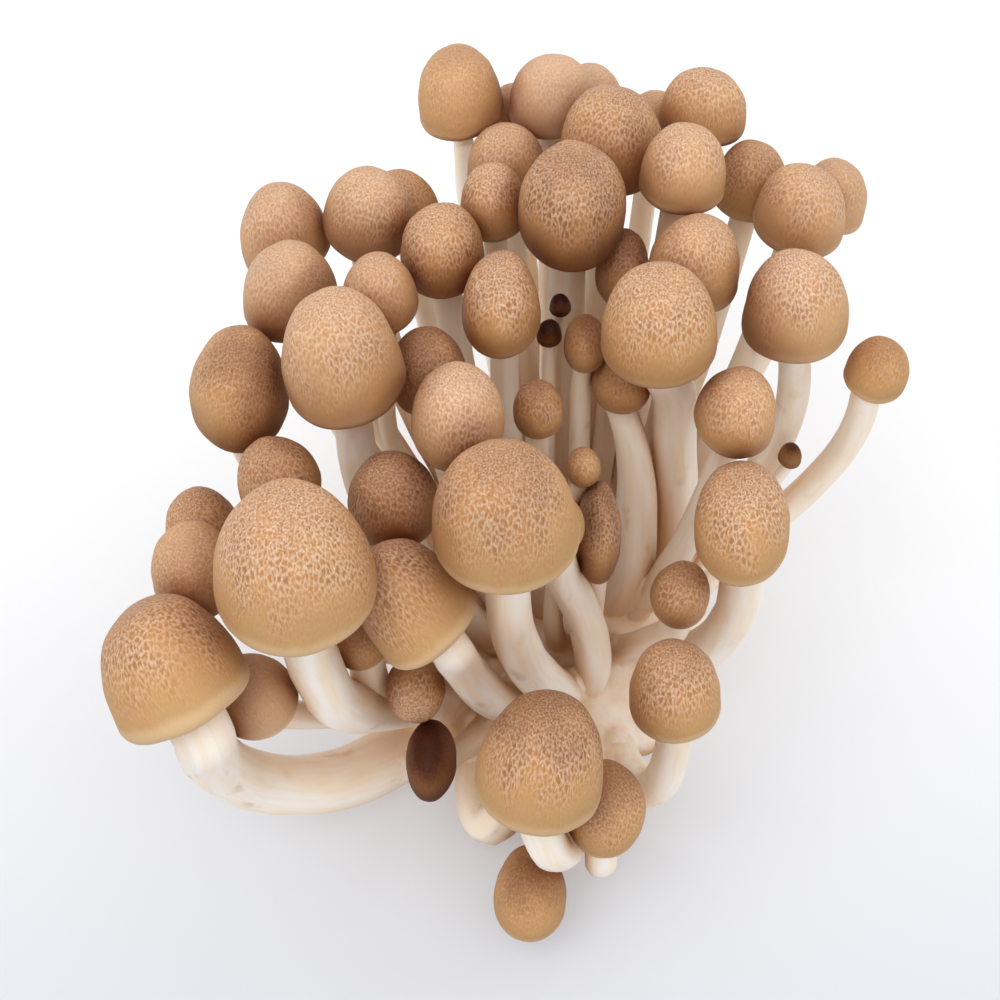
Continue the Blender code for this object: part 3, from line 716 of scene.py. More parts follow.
def cap_skin(look):
    """Velvety skin: a brown crown, a tan margin and a fine broken net of pale lines."""
    made, tree, shader = new_material("cap_skin", look.roughness, 0.22)
    place, _ = from_mesh(tree, "marbling")
    _, (reach, shade, strength) = from_mesh(tree, "cap_tone")
    _, (low, under, _) = from_mesh(tree, "cap_light")
    patchy = cloud(tree, place, 0.2, 2.0)
    fine = cloud(tree, place, 2.8, 3.0)
    ragged = maths(tree, "ADD", reach, maths(tree, "MULTIPLY", maths(
        tree, "SUBTRACT", patchy, 0.5), 0.7))

    # A net of pale broken lines round darker cells, finer over the crown
    loose = wandered(tree, wandered(tree, place, 0.5, 0.8), 2.8, look.cell * 0.6)
    edge = cell_edges(tree, loose, 1.0 / look.cell)
    wide = eased(tree, cloud(tree, place, 0.9), 0.3, 0.7, 0.6, 1.8)
    net = eased(tree, edge, 0.0, maths(tree, "MULTIPLY", wide, look.net_width), 1.0, 0.0)
    middles = eased(tree, edge, 0.04, 0.4)
    small = cell_edges(tree, wandered(tree, place, 3.0, 0.25), 1.8 / look.cell)
    small_net = eased(tree, small, 0.0, 0.36, 1.0, 0.0)
    crowned = eased(tree, ragged, 0.05, 0.6, 0.8, 0.15)
    net = blended_value(tree, crowned, net, small_net)
    net = maths(tree, "MULTIPLY", net, eased(tree, fine, 0.35, 0.6, 0.3, 1.0))
    faded = eased(tree, ragged, 0.42, 0.92, 1.0, 0.0)
    share = maths(tree, "MULTIPLY", maths(tree, "MULTIPLY", net, faded), strength)
    dark = maths(tree, "MULTIPLY", maths(tree, "MULTIPLY", middles, faded), strength)

    skin = blended(tree, eased(tree, ragged, 0.0, 0.7), look.crown, look.flank)
    skin = blended(tree, eased(tree, ragged, 0.7, 1.0), skin, look.margin)
    cells = blended(tree, eased(tree, patchy, 0.35, 0.65), look.cell_dark, look.cell_warm)
    skin = blended(tree, maths(tree, "MULTIPLY", dark, 0.75), skin, cells)
    skin = blended(tree, maths(tree, "MULTIPLY", share, 0.85), skin, look.net)
    smoother = eased(tree, ragged, 0.5, 1.0, 0.35, 0.12)
    skin = blended(tree, maths(tree, "MULTIPLY", eased(tree, fine, 0.5, 0.75), smoother),
                   skin, look.net)
    skin = blended(tree, maths(tree, "MULTIPLY", eased(tree, fine, 0.5, 0.3), smoother),
                   skin, look.cell_warm)
    rim = eased(tree, maths(tree, "ADD", reach, maths(tree, "MULTIPLY", maths(
        tree, "SUBTRACT", patchy, 0.5), 0.06)), 0.93, 1.01, 0.0, 0.55)
    skin = blended(tree, rim, skin, look.rim)
    skin = blended(tree, maths(tree, "MAXIMUM", maths(tree, "MULTIPLY", shade, -1.0), 0.0),
                   skin, look.net)
    # Darker crowns: partly the caps' own colour, partly painted shade on caps that lie in the
    # shadow of others
    crown_dark = maths(tree, "MULTIPLY", eased(tree, ragged, 0.1, 0.8, 1.0, 0.15),
                       maths(tree, "MAXIMUM", shade, 0.0))
    skin = blended(tree, crown_dark, skin, look.shade, "MULTIPLY")
    # Caps with a shade above 0.8 darkened all over: the pinheads' own dark brown, and painted
    # shade on cap 54 under the others
    skin = blended(tree, eased(tree, shade, 0.8, 1.3), skin, look.shade, "MULTIPLY")
    # Painted shade: the lower side of a cap darkened and warmed, more for caps deep in the
    # cluster
    lower = eased(tree, maths(tree, "ADD", low, maths(tree, "MULTIPLY", patchy, 0.3)),
                  0.55, 1.2)
    skin = blended(tree, maths(tree, "MULTIPLY", lower, under), skin, look.under,
                   "MULTIPLY")
    # Painted shade: the skin darkened and warmed where caps crowd each other
    skin = painted_crevice_shade(tree, skin, 16.0 * MM, look.painted_crevice_shade, 1.0)
    put(shader.inputs["Base Color"], skin)

    put(shader.inputs["Normal"], raised(tree, fine, 0.2 * MM, 0.6))
    shader.inputs["Subsurface Weight"].default_value = look.glow
    shader.inputs["Subsurface Radius"].default_value = (1.0, 0.4, 0.12)
    shader.inputs["Subsurface Scale"].default_value = 1.5 * MM
    return made


def gill_flesh(look):
    """Cream gills under a cap, browner where they meet the margin."""
    made, tree, shader = new_material("gill_flesh", 0.7, 0.25)
    place, _ = from_mesh(tree, "marbling")
    _, (reach, shade, _) = from_mesh(tree, "cap_tone")
    skin = blended(tree, eased(tree, reach, 1.05, 1.5, 1.0, 0.0), look.gills, look.margin)
    skin = blended(tree, eased(tree, cloud(tree, place, 0.8, 3.0), 0.4, 0.7, 0.0, 0.35),
                   skin, look.gill_shadow)
    put(shader.inputs["Base Color"], skin)
    put(shader.inputs["Normal"], raised(tree, cloud(tree, place, 2.0), 0.1 * MM, 0.3))
    return made


def stem_flesh(look):
    """Creamy white flesh with faint long fibres and a few orange-brown stains."""
    made, tree, shader = new_material("stem_flesh", look.roughness, 0.4)
    place, (_, _, along) = from_mesh(tree, "fibre")
    _, (share, level, dirt) = from_mesh(tree, "stem_tone")
    streaks = cloud(tree, stretched(tree, place, (1.3, 1.3, 0.12)), 1.0, 4.0)
    broad = cloud(tree, stretched(tree, place, (0.35, 0.35, 0.06)), 1.0, 2.0)
    spots = cloud(tree, stretched(tree, place, (0.25, 0.25, 0.14)), 1.0, 4.0)
    skin = blended(tree, eased(tree, broad, 0.35, 0.7), look.flesh, look.flesh_warm)
    skin = blended(tree, eased(tree, streaks, 0.45, 0.75, 0.0, 0.26), skin, look.fibre)
    skin = blended(tree, eased(tree, spots, 0.6, 0.8, 0.0, 0.55), skin, look.stain)
    skin = blended(tree, maths(tree, "MULTIPLY", dirt, eased(tree, spots, 0.3, 0.6)),
                   skin, look.stain)
    # Painted shade: the flesh darkened and warmed between crowded stems
    skin = painted_crevice_shade(tree, skin, 14.0 * MM, look.painted_crevice_shade, 1.0, 0.55)
    put(shader.inputs["Base Color"], skin)
    put(shader.inputs["Normal"], raised(tree, streaks, 0.15 * MM, 0.35))
    shader.inputs["Subsurface Weight"].default_value = look.glow
    shader.inputs["Subsurface Radius"].default_value = (1.0, 0.6, 0.4)
    shader.inputs["Subsurface Scale"].default_value = 2.0 * MM
    return made


def floor_paint(look):
    """Pale floor, white at the back and a little bluish at the front."""
    made, tree, shader = new_material("studio_floor", 0.9, 0.1)
    where = tree.nodes.new("ShaderNodeTexCoord")
    parts = tree.nodes.new("ShaderNodeSeparateXYZ")
    put(parts.inputs[0], where.outputs["Object"])
    front = eased(tree, parts.outputs[1], look.fade_from, look.fade_to, 1.0, 0.0)
    colour = blended(tree, front, look.floor_back, look.floor_front)
    put(shader.inputs["Base Color"], colour)
    # Painted light: the floor glows in its own colour, so that it shows white and its shadows
    # stay faint
    put(shader.inputs["Emission Color"], colour)
    shader.inputs["Emission Strength"].default_value = look.floor_glow
    return made


# ---- Caps ----

def fine_steps(width):
    """Number of steps round a cap of this width."""
    return next(count for least, count in FINE_STEPS if width >= least)


def fine_profile(cap):
    """Half section of a cap from its crown to the flat under it, with its reach."""
    rows = []
    for place in range(DOME_ROWS + 1):
        radius, level = dome_point(math.pi / 2.0 * place / DOME_ROWS)
        rows.append((radius, level * cap.row.rise, place / DOME_ROWS))
    lip_radius, lip_level = LIP
    for place in range(1, MARGIN_ROWS + 1):
        turn = math.pi / 2.0 * place / MARGIN_ROWS
        rows.append((lip_radius + (1.0 - lip_radius) * math.cos(turn),
                     lip_level * math.sin(turn), 1.0 + 0.1 * place / MARGIN_ROWS))
    rows += [(radius, level, 1.2) for radius, level in LIP_CURL]
    seat = (top_radius(cap) + SEAT_MARGIN) / cap.half
    start = LIP_CURL[-1]
    for place in range(1, GILL_ROWS + 1):
        share = place / GILL_ROWS
        rows.append((start[0] + (seat - start[0]) * share,
                     start[1] + (SEAT_LEVEL - start[1]) * share, 1.3 + 0.5 * share))
    rows.append((0.0, SEAT_LEVEL, 2.0))
    return rows


def spun_cap(cap):
    """One cap in its own axes, spun from its half section."""
    shape = bmesh.new()
    tone = shape.verts.layers.float_vector.new("cap_tone")
    shape.verts.layers.float_vector.new("marbling")
    shape.verts.layers.float_vector.new("cap_light")
    rows = fine_profile(cap)
    verts = []
    for radius, level, reach in rows:
        vert = shape.verts.new((radius * cap.half, 0.0, level * cap.half))
        vert[tone] = Vector((reach, 0.0, 0.0))
        verts.append(vert)
    edges = [shape.edges.new(pair) for pair in zip(verts, verts[1:])]
    bmesh.ops.spin(shape, geom=verts + edges, cent=(0, 0, 0), axis=(0, 0, 1),
                   angle=2.0 * math.pi, steps=fine_steps(cap.row.width), use_merge=True)
    bmesh.ops.remove_doubles(shape, verts=shape.verts, dist=1e-4 * cap.half)
    bmesh.ops.recalc_face_normals(shape, faces=shape.faces)
    bmesh.ops.scale(shape, vec=(1.0, cap.long / cap.half, 1.0), verts=shape.verts)
    return shape


def meridian(cap, reach):
    """How far down the dome a reach is, in millimetres."""
    wide = (cap.half + cap.long) / 2.0
    steps = 12
    turns = [math.pi / 2.0 * min(reach, 1.0) * (k + 0.5) / steps for k in range(steps)]
    part = math.pi / 2.0 * min(reach, 1.0) / steps
    return sum(math.hypot(wide * math.cos(t), cap.tall * math.sin(t)) for t in turns) * part


def shape_cap(shape, cap, number):
    """Lumps, a wavy margin and gills, and the places that the skin is painted by."""
    tone = shape.verts.layers.float_vector["cap_tone"]
    marbling = shape.verts.layers.float_vector["marbling"]
    steps = fine_steps(cap.row.width)
    shade, net, under = cap_look(number)
    away = Vector((cap.index * 5.3, 0.0, 0.0))
    shift = Vector((number * 37.0, number * 11.0, number * 5.0))
    downs = {}
    for vert in shape.verts:
        reach = vert[tone].x
        spot = vert.co.copy()
        flat = math.hypot(spot.x / cap.half, spot.y / cap.long)
        if reach not in downs:
            downs[reach] = meridian(cap, reach)
        wide = (cap.half + cap.long) / 2.0
        grow = 1.0
        if flat > 0.02:
            grow = (1.0 - SPREAD_SHARE) + SPREAD_SHARE * downs[reach] / (wide * flat)
        vert[marbling] = Vector((spot.x * grow, spot.y * grow * NET_STRETCH, 0.0)) + shift
        vert[tone] = Vector((reach, shade, net))
        kept = max(0.0, 1.0 + min(0.0, spot.z) / (0.22 * cap.half))
        wave = noise.noise(spot / cap.half * LUMP_PITCH + away) * LUMPS
        small = noise.noise(spot / cap.half * FINE_PITCH + away) * FINE_LUMPS * 2.0
        vert.co = spot * (1.0 + (wave + small) * kept)
        turn = math.atan2(spot.y / cap.long, spot.x / cap.half)
        ripple = noise.noise(Vector((math.cos(turn), math.sin(turn), 0.0)) * 1.4 + away)
        near = max(0.0, 1.0 - abs(reach - 1.05) / 0.3)
        vert.co.z += ripple * MARGIN_WAVE * cap.half * near
        if 1.3 < reach < 1.8:
            spoke = round(turn / (2.0 * math.pi) * steps)
            if spoke % 2:
                vert.co.z -= GILL_DEPTH * cap.half
    for vert in shape.verts:
        vert.co = Vector(cap.world(np.array((vert.co[:],)))[0]) * MM
    # Painted shade: how low each point lies on its cap, and how dark that cap's lower side is
    # painted
    light = shape.verts.layers.float_vector["cap_light"]
    highest = max(vert.co.z for vert in shape.verts)
    lowest = min(vert.co.z for vert in shape.verts)
    for vert in shape.verts:
        low = (highest - vert.co.z) / (highest - lowest)
        vert[light] = Vector((low, under, 0.0))


def make_cap(cap, number):
    """One cap as an object with its skin and its gills."""
    shape = spun_cap(cap)
    shape_cap(shape, cap, number)
    tone = shape.verts.layers.float_vector["cap_tone"]
    for face in shape.faces:
        face.smooth = True
        face.material_index = int(min(vert[tone].x for vert in face.verts) > 1.15)
    return as_object(shape, f"mushroom_cap_{number:02d}",
                     (material("cap_skin"), material("gill_flesh")))


def as_object(shape, name, materials):
    """Put a finished bmesh into the scene."""
    mesh = bpy.data.meshes.new(name)
    shape.to_mesh(mesh)
    shape.free()
    for paint in materials:
        mesh.materials.append(paint)
    made = bpy.data.objects.new(name, mesh)
    bpy.context.scene.collection.objects.link(made)
    return made


def joined(parts, name):
    """Several objects joined into one with a new name."""
    first = parts[0]
    with bpy.context.temp_override(active_object=first, object=first,
                                   selected_objects=parts,
                                   selected_editable_objects=parts):
        bpy.ops.object.join()
    first.name = name
    first.data.name = name
    return first


PAINTS = {}


def material(name):
    """One of the cluster's materials, made the first time that it is asked for."""
    if name not in PAINTS:
        sheet = bpy.context.scene
        makers = {"cap_skin": (cap_skin, sheet.mushroom_caps),
                  "gill_flesh": (gill_flesh, sheet.mushroom_caps),
                  "stem_flesh": (stem_flesh, sheet.mushroom_stems),
                  "studio_floor": (floor_paint, sheet.mushroom_stage)}
        maker, look = makers[name]
        PAINTS[name] = maker(look)
    return PAINTS[name]


LAYOUT = []


def laid_out():
    """All caps in their places, worked out once."""
    if not LAYOUT:
        LAYOUT.extend(Cap(row, index) for index, row in enumerate(MUSHROOMS))
        spread(LAYOUT)
    return LAYOUT


# ---- Stems ----

STEM_LINES = {}


def fine_line(cap, caps):
    """A stem's fine smooth line, worked out once."""
    if cap.index not in STEM_LINES:
        points = stem_line(cap, caps)
        for _ in range(BEND_ROUNDS.get(cap.index + 1, PLAIN_ROUNDS)):
            points[1:-2] = [(before + here * 2 + after) / 4 for before, here, after
                            in zip(points, points[1:-2], points[2:])]
        beyond = points[-1] * 2 - points[-2]
        STEM_LINES[cap.index] = smooth_line(points, beyond, STEM_PITCH)
    return STEM_LINES[cap.index]


def frames_along(line):
    """A turn and place matrix for every point of a line, turned as little as may be."""
    ahead = (line[1] - line[0]).normalized()
    side = ahead.orthogonal().normalized()
    frames = []
    for place, point in enumerate(line):
        before = line[max(place - 1, 0)]
        after = line[min(place + 1, len(line) - 1)]
        ahead = (after - before).normalized()
        side = (side - ahead * side.dot(ahead)).normalized()
        turned = Matrix((side, ahead.cross(side), ahead)).transposed().to_4x4()
        frames.append(Matrix.Translation(point) @ turned)
    return frames


def drawn_tube(frames, radii, count):
    """A tube drawn out ring by ring along its frames."""
    shape = bmesh.new()
    fibre = shape.verts.layers.float_vector.new("fibre")
    tone = shape.verts.layers.float_vector.new("stem_tone")
    ring = bmesh.ops.create_circle(shape, cap_ends=False, segments=count,
                                   radius=radii[0])["verts"]
    for vert in ring:
        vert[fibre] = vert.co.copy()
    bmesh.ops.transform(shape, matrix=frames[0], verts=ring)
    edges = list(shape.edges)
    rings = [ring]
    for place in range(1, len(frames)):
        grown = bmesh.ops.extrude_edge_only(shape, edges=edges)["geom"]
        ring = [part for part in grown if isinstance(part, bmesh.types.BMVert)]
        edges = [part for part in grown if isinstance(part, bmesh.types.BMEdge)]
        scale = Matrix.Scale(radii[place] / radii[place - 1], 4)
        bmesh.ops.transform(shape, verts=ring,
                            matrix=frames[place] @ scale @ frames[place - 1].inverted())
        rings.append(ring)
    return shape, rings


def fluted(shape, frames, rings, lengths, cap):
    """Faint long grooves on a stem, and the places that the flesh is painted by."""
    fibre = shape.verts.layers.float_vector["fibre"]
    tone = shape.verts.layers.float_vector["stem_tone"]
    shift = Vector((cap.index * 31.0, cap.index * 17.0, cap.index * 23.0))
    for frame_at, ring, along in zip(frames, rings, lengths):
        back = frame_at.inverted()
        for vert in ring:
            spot = back @ vert.co
            way = Vector((spot.x, spot.y, 0.0)).normalized()
            groove = noise.noise(Vector((way.x * FLUTE_PITCH * 2.2, way.y * FLUTE_PITCH * 2.2,
                                         along * 0.03)) + shift)
            swell = noise.noise(Vector((way.x * 0.6, way.y * 0.6, along * 0.12)) - shift)
            grow = 1.0 + groove * FLUTES * 2.0 + swell * FLUTES * 2.0
            vert.co = frame_at @ Vector((spot.x * grow, spot.y * grow, 0.0))
            vert[fibre] = Vector((spot.x, spot.y, along)) + shift
            vert[tone] = Vector((along / lengths[-1], vert.co.z, 0.0))


def make_stem(cap, caps):
    """One stem as an object, from inside the base to the seat under its cap."""
    line = fine_line(cap, caps)
    frames = frames_along(line)
    last = len(line) - 1
    lengths = [0.0]
    for first, second in zip(line, line[1:]):
        lengths.append(lengths[-1] + (second - first).length)
    radii = [stem_radius(cap, along / lengths[-1]) for along in lengths]
    count = THIN_STEPS if cap.row.stem <= THIN_STEM else STEM_STEPS
    shape, rings = drawn_tube(frames, radii, count)
    fluted(shape, frames, rings, lengths, cap)
    bmesh.ops.holes_fill(shape, edges=shape.edges, sides=0)
    bmesh.ops.recalc_face_normals(shape, faces=shape.faces)
    bmesh.ops.scale(shape, vec=(MM, MM, MM), verts=shape.verts)
    for face in shape.faces:
        face.smooth = True
    return as_object(shape, f"stem_{cap.index + 1:02d}", (material("stem_flesh"),))


def foot_lump():
    """The lump that the stems grow from, as rings drawn up from a circle."""
    shape = bmesh.new()
    radius, level = BASE_RINGS[0]
    ring = bmesh.ops.create_circle(shape, cap_ends=True, segments=88,
                                   radius=radius)["verts"]
    edges = list(shape.edges)
    levels = list(BASE_RINGS[1:]) + [(0.5, BASE_TOP)]
    for wide, high in levels:
        grown = bmesh.ops.extrude_edge_only(shape, edges=edges)["geom"]
        ring = [part for part in grown if isinstance(part, bmesh.types.BMVert)]
        edges = [part for part in grown if isinstance(part, bmesh.types.BMEdge)]
        bmesh.ops.scale(shape, vec=(wide / radius, wide / radius, 1.0), verts=ring)
        bmesh.ops.translate(shape, vec=(0.0, 0.0, high - level), verts=ring)
        radius, level = wide, high
    bmesh.ops.holes_fill(shape, edges=shape.edges, sides=0)
    for vert in shape.verts:
        spot = vert.co.copy()
        flat = math.hypot(spot.x, spot.y)
        if flat > 1.0:
            way = Vector((spot.x / flat, spot.y / flat, spot.z * 0.1))
            flat += noise.noise(way * BASE_PITCH) * BASE_LUMPS
            vert.co.x, vert.co.y = way.x * flat, way.y * flat
    bmesh.ops.recalc_face_normals(shape, faces=shape.faces)
    return as_object(shape, "foot_lump", ())


def foot_stub(cap, caps):
    """The lowest part of a stem, a little thicker, to be grown into the foot."""
    full = fine_line(cap, caps)
    line = full[:max(4, next((place for place, point in enumerate(full)
                              if point.z > FOOT_TOP or place * STEM_PITCH > 34.0), len(full)))]
    radii = []
    for place in range(len(line)):
        share = place / (len(full) - 1)
        ending = place / (len(line) - 1)
        radii.append(stem_radius(cap, share) * (1.12 - 0.30 * ending ** 2))
    frames = frames_along(line)
    shape, _ = drawn_tube(frames, radii, 14)
    bmesh.ops.holes_fill(shape, edges=shape.edges, sides=0)
    bmesh.ops.recalc_face_normals(shape, faces=shape.faces)
    return as_object(shape, "foot_stub", ())


def make_foot(caps):
    """The base and the lowest parts of all stems, grown into one skin."""
    parts = [foot_lump()] + [foot_stub(cap, caps) for cap in caps]
    whole = joined(parts, "cut_foot")
    joining = whole.modifiers.new("skin", "REMESH")
    joining.mode = "VOXEL"
    joining.voxel_size = FOOT_VOXEL
    depsgraph = bpy.context.evaluated_depsgraph_get()
    mesh = bpy.data.meshes.new_from_object(whole.evaluated_get(depsgraph))
    bpy.data.objects.remove(whole, do_unlink=True)
    shape = bmesh.new()
    shape.from_mesh(mesh)
    bpy.data.meshes.remove(mesh)
    for _ in range(FOOT_SMOOTHING):
        bmesh.ops.smooth_vert(shape, verts=shape.verts, factor=0.5, use_axis_x=True,
                              use_axis_y=True, use_axis_z=True)
    fibre = shape.verts.layers.float_vector.new("fibre")
    tone = shape.verts.layers.float_vector.new("stem_tone")
    for vert in shape.verts:
        spot = vert.co.copy()
        lump = noise.noise(spot * 0.16) * 0.9 + noise.noise(spot * 0.45) * 0.35
        vert.co += vert.normal * lump * min(1.0, max(0.0, spot.z - 1.0) / 3.0)
        vert[fibre] = spot
        vert[tone] = Vector((0.0, spot.z, max(0.0, 1.0 - spot.z / 5.0)))
    bmesh.ops.bisect_plane(shape, geom=shape.verts[:] + shape.edges[:] + shape.faces[:],
                           plane_co=(0.0, 0.0, 0.35), plane_no=(0.0, 0.0, -1.0),
                           clear_outer=True)
    rim = [edge for edge in shape.edges if edge.is_boundary]
    grown = bmesh.ops.extrude_edge_only(shape, edges=rim)["geom"]
    low = [part for part in grown if isinstance(part, bmesh.types.BMVert)]
    for vert in low:
        vert.co.z = 0.0
    bmesh.ops.holes_fill(shape, edges=shape.edges, sides=0)
    bmesh.ops.recalc_face_normals(shape, faces=shape.faces)
    bmesh.ops.scale(shape, vec=(MM, MM, MM), verts=shape.verts)
    for face in shape.faces:
        face.smooth = True
    return as_object(shape, "cut_foot", (material("stem_flesh"),))


# ---- Settings ----

def colour_property(name, description, default):
    """A colour that a user can change."""
    return FloatVectorProperty(name=name, description=description, default=default,
                               subtype="COLOR", size=3, min=0.0, max=1.0)


class CapSettings(bpy.types.PropertyGroup):
    """Sizes and colours of the caps."""

    crown: colour_property("Crown", "Skin at the middle of a cap", (0.43, 0.215, 0.085))
    flank: colour_property("Flank", "Skin half way down a cap", (0.55, 0.295, 0.115))
    margin: colour_property("Margin", "Skin at the edge of a cap", (0.545, 0.32, 0.135))
    net: colour_property("Net", "Fine pale lines on the skin", (0.77, 0.555, 0.42))
    rim: colour_property("Rim", "Thin pale line at the edge of a cap", (0.74, 0.53, 0.32))
    cell_dark: colour_property("Dark cells", "Darker cells of the net", (0.27, 0.10, 0.03))
    cell_warm: colour_property("Warm cells", "Warmer cells of the net", (0.47, 0.19, 0.05))
    # Partly the darker caps' own colour, partly painted shade
    shade: colour_property("Shade", "Tint of the darkest caps", (0.34, 0.20, 0.10))
    under: colour_property("Under", "Tint of the shaded lower side of a cap",
                           (0.34, 0.13, 0.02))
    # Painted shade: the tint for skin where caps crowd each other
    painted_crevice_shade: colour_property("Crevice", "Tint of the skin where caps nearly touch",
                             (0.36, 0.14, 0.04))
    gills: colour_property("Gills", "Gills under a cap", (0.80, 0.70, 0.56))
    gill_shadow: colour_property("Gill shadow", "Darker parts of the gills",
                                 (0.62, 0.46, 0.30))
    cell: FloatProperty(name="Cell", description="Width of a cell of the net, in millimetres",
                        default=0.76, min=0.3, max=4.0)
    net_width: FloatProperty(name="Line", description="Width of the net's lines, in cells",
                             default=0.24, min=0.02, max=0.5)
    roughness: FloatProperty(name="Roughness", description="Roughness of the skin",
                             default=0.6, min=0.0, max=1.0, subtype="FACTOR")
    glow: FloatProperty(name="Glow", description="Light that goes through the skin",
                        default=0.0, min=0.0, max=1.0, subtype="FACTOR")


class StemSettings(bpy.types.PropertyGroup):
    """Colours of the stems and the foot."""

    flesh: colour_property("Flesh", "Creamy white of a stem", (0.95, 0.885, 0.80))
    flesh_warm: colour_property("Warm flesh", "Warmer parts of a stem", (0.93, 0.79, 0.61))
    fibre: colour_property("Fibre", "Faint long fibres", (0.82, 0.62, 0.44))
    # Painted shade: the tint for flesh between stems
    painted_crevice_shade: colour_property("Crevice", "Tint of the flesh between stems",
                             (0.70, 0.45, 0.25))
    stain: colour_property("Stain", "Stains on a stem", (0.58, 0.34, 0.16))
    roughness: FloatProperty(name="Roughness", description="Roughness of a stem",
                             default=0.55, min=0.0, max=1.0, subtype="FACTOR")
    glow: FloatProperty(name="Glow", description="Light that goes through a stem",
                        default=0.0, min=0.0, max=1.0, subtype="FACTOR")


class StageSettings(bpy.types.PropertyGroup):
    """Floor and light."""

    floor_back: colour_property("Back", "Floor behind the cluster", (0.66, 0.66, 0.665))
    floor_front: colour_property("Front", "Floor before the cluster", (0.415, 0.43, 0.47))
    fade_from: FloatProperty(name="Fade from", description="Where the floor is darkest",
                             default=-0.16, unit="LENGTH", subtype="DISTANCE")
    fade_to: FloatProperty(name="Fade to", description="Where the floor is white",
                           default=0.10, unit="LENGTH", subtype="DISTANCE")
    floor_glow: FloatProperty(name="Glow", description="Light that the floor gives",
                              default=0.45, min=0.0, max=2.0)
    sky: FloatProperty(name="Room light", description="Light from all round",
                       default=0.88, min=0.0, max=5.0)
    key: FloatProperty(name="Key light", description="Power of the large light above",
                       default=1.2, min=0.0, max=100.0, unit="POWER")


# ---- Operators ----

def placed(made, nodes):
    """Make a piece ride on the cluster in place of its CAD nodes."""
    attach(made, "root")
    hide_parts(*nodes)


def make_caps(name):
    """Every cap of a group, joined into one piece."""
    caps = laid_out()
    parts = [make_cap(caps[number - 1], number) for number in CAP_GROUPS[name]]
    made = joined(parts, name)
    placed(made, [f"cap_{number:02d}" for number in CAP_GROUPS[name]])


def make_stems(name, group):
    """Every stem of a group, joined into one piece."""
    caps = laid_out()
    parts = [make_stem(caps[number - 1], caps) for number in group]
    placed(joined(parts, name), ["stems"])


class MUSHROOM_OT_caps_back(bpy.types.Operator):
    """Make the caps of the back rows"""

    bl_idname = "mushroom.caps_back"
    bl_label = "Back caps"

    def execute(self, context):
        make_caps("caps_back")
        return {"FINISHED"}


class MUSHROOM_OT_caps_left(bpy.types.Operator):
    """Make the caps of the left shoulder"""

    bl_idname = "mushroom.caps_left"
    bl_label = "Left caps"

    def execute(self, context):
        make_caps("caps_left")
        return {"FINISHED"}


class MUSHROOM_OT_caps_middle(bpy.types.Operator):
    """Make the caps of the middle"""

    bl_idname = "mushroom.caps_middle"
    bl_label = "Middle caps"

    def execute(self, context):
        make_caps("caps_middle")
        return {"FINISHED"}


class MUSHROOM_OT_caps_front(bpy.types.Operator):
    """Make the caps of the front"""

    bl_idname = "mushroom.caps_front"
    bl_label = "Front caps"

    def execute(self, context):
        make_caps("caps_front")
        return {"FINISHED"}


class MUSHROOM_OT_pinheads(bpy.types.Operator):
    """Make the small dark pinheads"""

    bl_idname = "mushroom.pinheads"
    bl_label = "Pinheads"

    def execute(self, context):
        make_caps("pinheads")
        return {"FINISHED"}


class MUSHROOM_OT_stems(bpy.types.Operator):
    """Make the white stems"""

    bl_idname = "mushroom.stems"
    bl_label = "Stems"

    def execute(self, context):
        make_stems("stems_back", range(1, 24))
        make_stems("stems_front", range(24, 60))
        return {"FINISHED"}


class MUSHROOM_OT_foot(bpy.types.Operator):
    """Make the foot that the stems grow from, cut flat below"""

    bl_idname = "mushroom.foot"
    bl_label = "Cut foot"

    def execute(self, context):
        placed(make_foot(laid_out()), ["stems"])
        return {"FINISHED"}


class MUSHROOM_OT_stage(bpy.types.Operator):
    """Make the floor, the lights and the camera"""

    bl_idname = "mushroom.stage"
    bl_label = "Stage"

    def execute(self, context):
        make_floor()
        make_lights(context.scene)
        make_camera(context.scene)
        return {"FINISHED"}


class MUSHROOM_PT_sidebar(bpy.types.Panel):
    """Lists the operators and the settings"""

    bl_label = "Beech mushrooms"
    bl_idname = "MUSHROOM_PT_sidebar"
    bl_space_type = "VIEW_3D"
    bl_region_type = "UI"
    bl_category = "Mushrooms"

    def draw(self, context):
        for kind in OPERATORS:
            self.layout.operator(kind.bl_idname)
        for name in SETTINGS:
            group = getattr(context.scene, name)
            box = self.layout.box()
            for key in group.bl_rna.properties.keys():
                if key not in ("name", "rna_type"):
                    box.prop(group, key)


OPERATORS = (MUSHROOM_OT_caps_back, MUSHROOM_OT_caps_left, MUSHROOM_OT_caps_middle,
             MUSHROOM_OT_caps_front, MUSHROOM_OT_pinheads, MUSHROOM_OT_stems,
             MUSHROOM_OT_foot, MUSHROOM_OT_stage)
SETTINGS = {"mushroom_caps": CapSettings, "mushroom_stems": StemSettings,
            "mushroom_stage": StageSettings}


# ---- Stage ----

def make_floor():
    """A large pale floor."""
    shape = bmesh.new()
    bmesh.ops.create_grid(shape, x_segments=8, y_segments=8, size=3.0)
    floor = as_object(shape, "floor", (material("studio_floor"),))


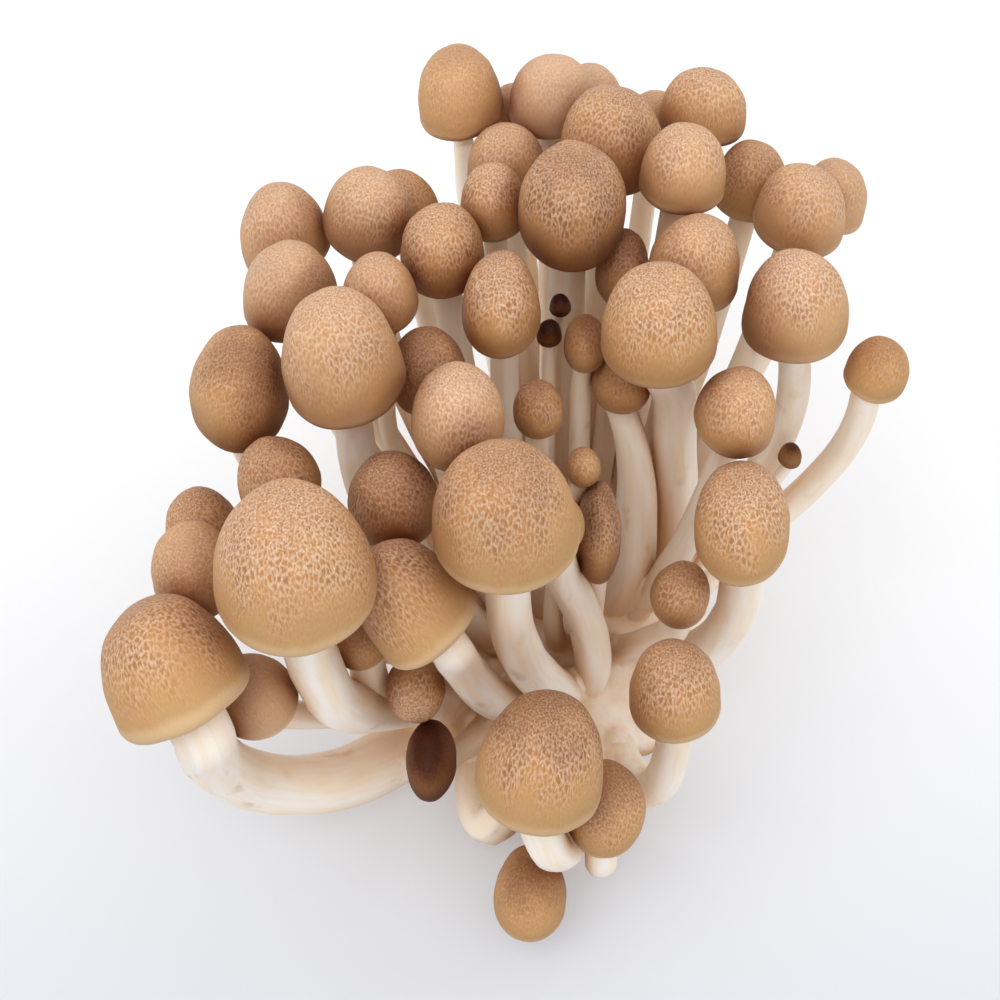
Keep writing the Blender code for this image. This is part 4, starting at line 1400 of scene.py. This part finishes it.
def add_light(name, place, aim, size, power, colour=(1.0, 1.0, 1.0)):
    """A large soft light."""
    lamp = bpy.data.lights.new(name, "AREA")
    lamp.shape = "DISK"
    lamp.size = size
    lamp.energy = power
    lamp.color = colour
    made = bpy.data.objects.new(name, lamp)
    made.location = place
    made.rotation_euler = (Vector(aim) - Vector(place)).to_track_quat("-Z", "Y").to_euler()
    bpy.context.scene.collection.objects.link(made)


def make_lights(scene):
    """A bright room and one large light above."""
    look = scene.mushroom_stage
    world = bpy.data.worlds.new("studio")
    world.use_nodes = True
    sky = world.node_tree.nodes["Background"]
    sky.inputs["Color"].default_value = (0.99, 0.995, 1.0, 1.0)
    sky.inputs["Strength"].default_value = look.sky
    scene.world = world
    scene.view_settings.view_transform = "Standard"
    middle = (0.0, 0.0, 0.05)
    add_light("key", (-0.22, -0.25, 0.60), middle, 0.45, look.key)
    add_light("top", (0.10, 0.15, 0.65), middle, 0.55, look.key * 0.6)
    add_light("front", (0.22, -0.42, 0.55), middle, 0.60, look.key * 0.6)


def make_camera(scene):
    """The camera at the photograph's viewing angle."""
    lens = bpy.data.cameras.new("camera")
    lens.sensor_width = 36.0
    lens.lens = lens.sensor_width * FOCAL_PIXELS / PHOTO_SIZE
    lens.clip_start = 0.01
    made = bpy.data.objects.new("camera", lens)
    made.location = VIEWER * MM
    made.rotation_euler = (math.pi / 2.0 - VIEW_ELEVATION, 0.0, 0.0)
    scene.collection.objects.link(made)
    scene.camera = made


def register():
    """Make the operators, the panel and the settings known to Blender."""
    for kind in (*SETTINGS.values(), *OPERATORS, MUSHROOM_PT_sidebar):
        bpy.utils.register_class(kind)
    for name, kind in SETTINGS.items():
        setattr(bpy.types.Scene, name, PointerProperty(type=kind))


def unregister():
    """Take them back."""
    for name in SETTINGS:
        delattr(bpy.types.Scene, name)
    for kind in reversed((*SETTINGS.values(), *OPERATORS, MUSHROOM_PT_sidebar)):
        bpy.utils.unregister_class(kind)


def main():
    """Make everything."""
    register()
    for kind in OPERATORS:
        group, name = kind.bl_idname.split(".")
        getattr(getattr(bpy.ops, group), name)()


if __name__ == "__main__":
    for old in ("Cube", "Light", "Camera"):
        if old in bpy.data.objects:
            bpy.data.objects.remove(bpy.data.objects[old], do_unlink=True)
    main()
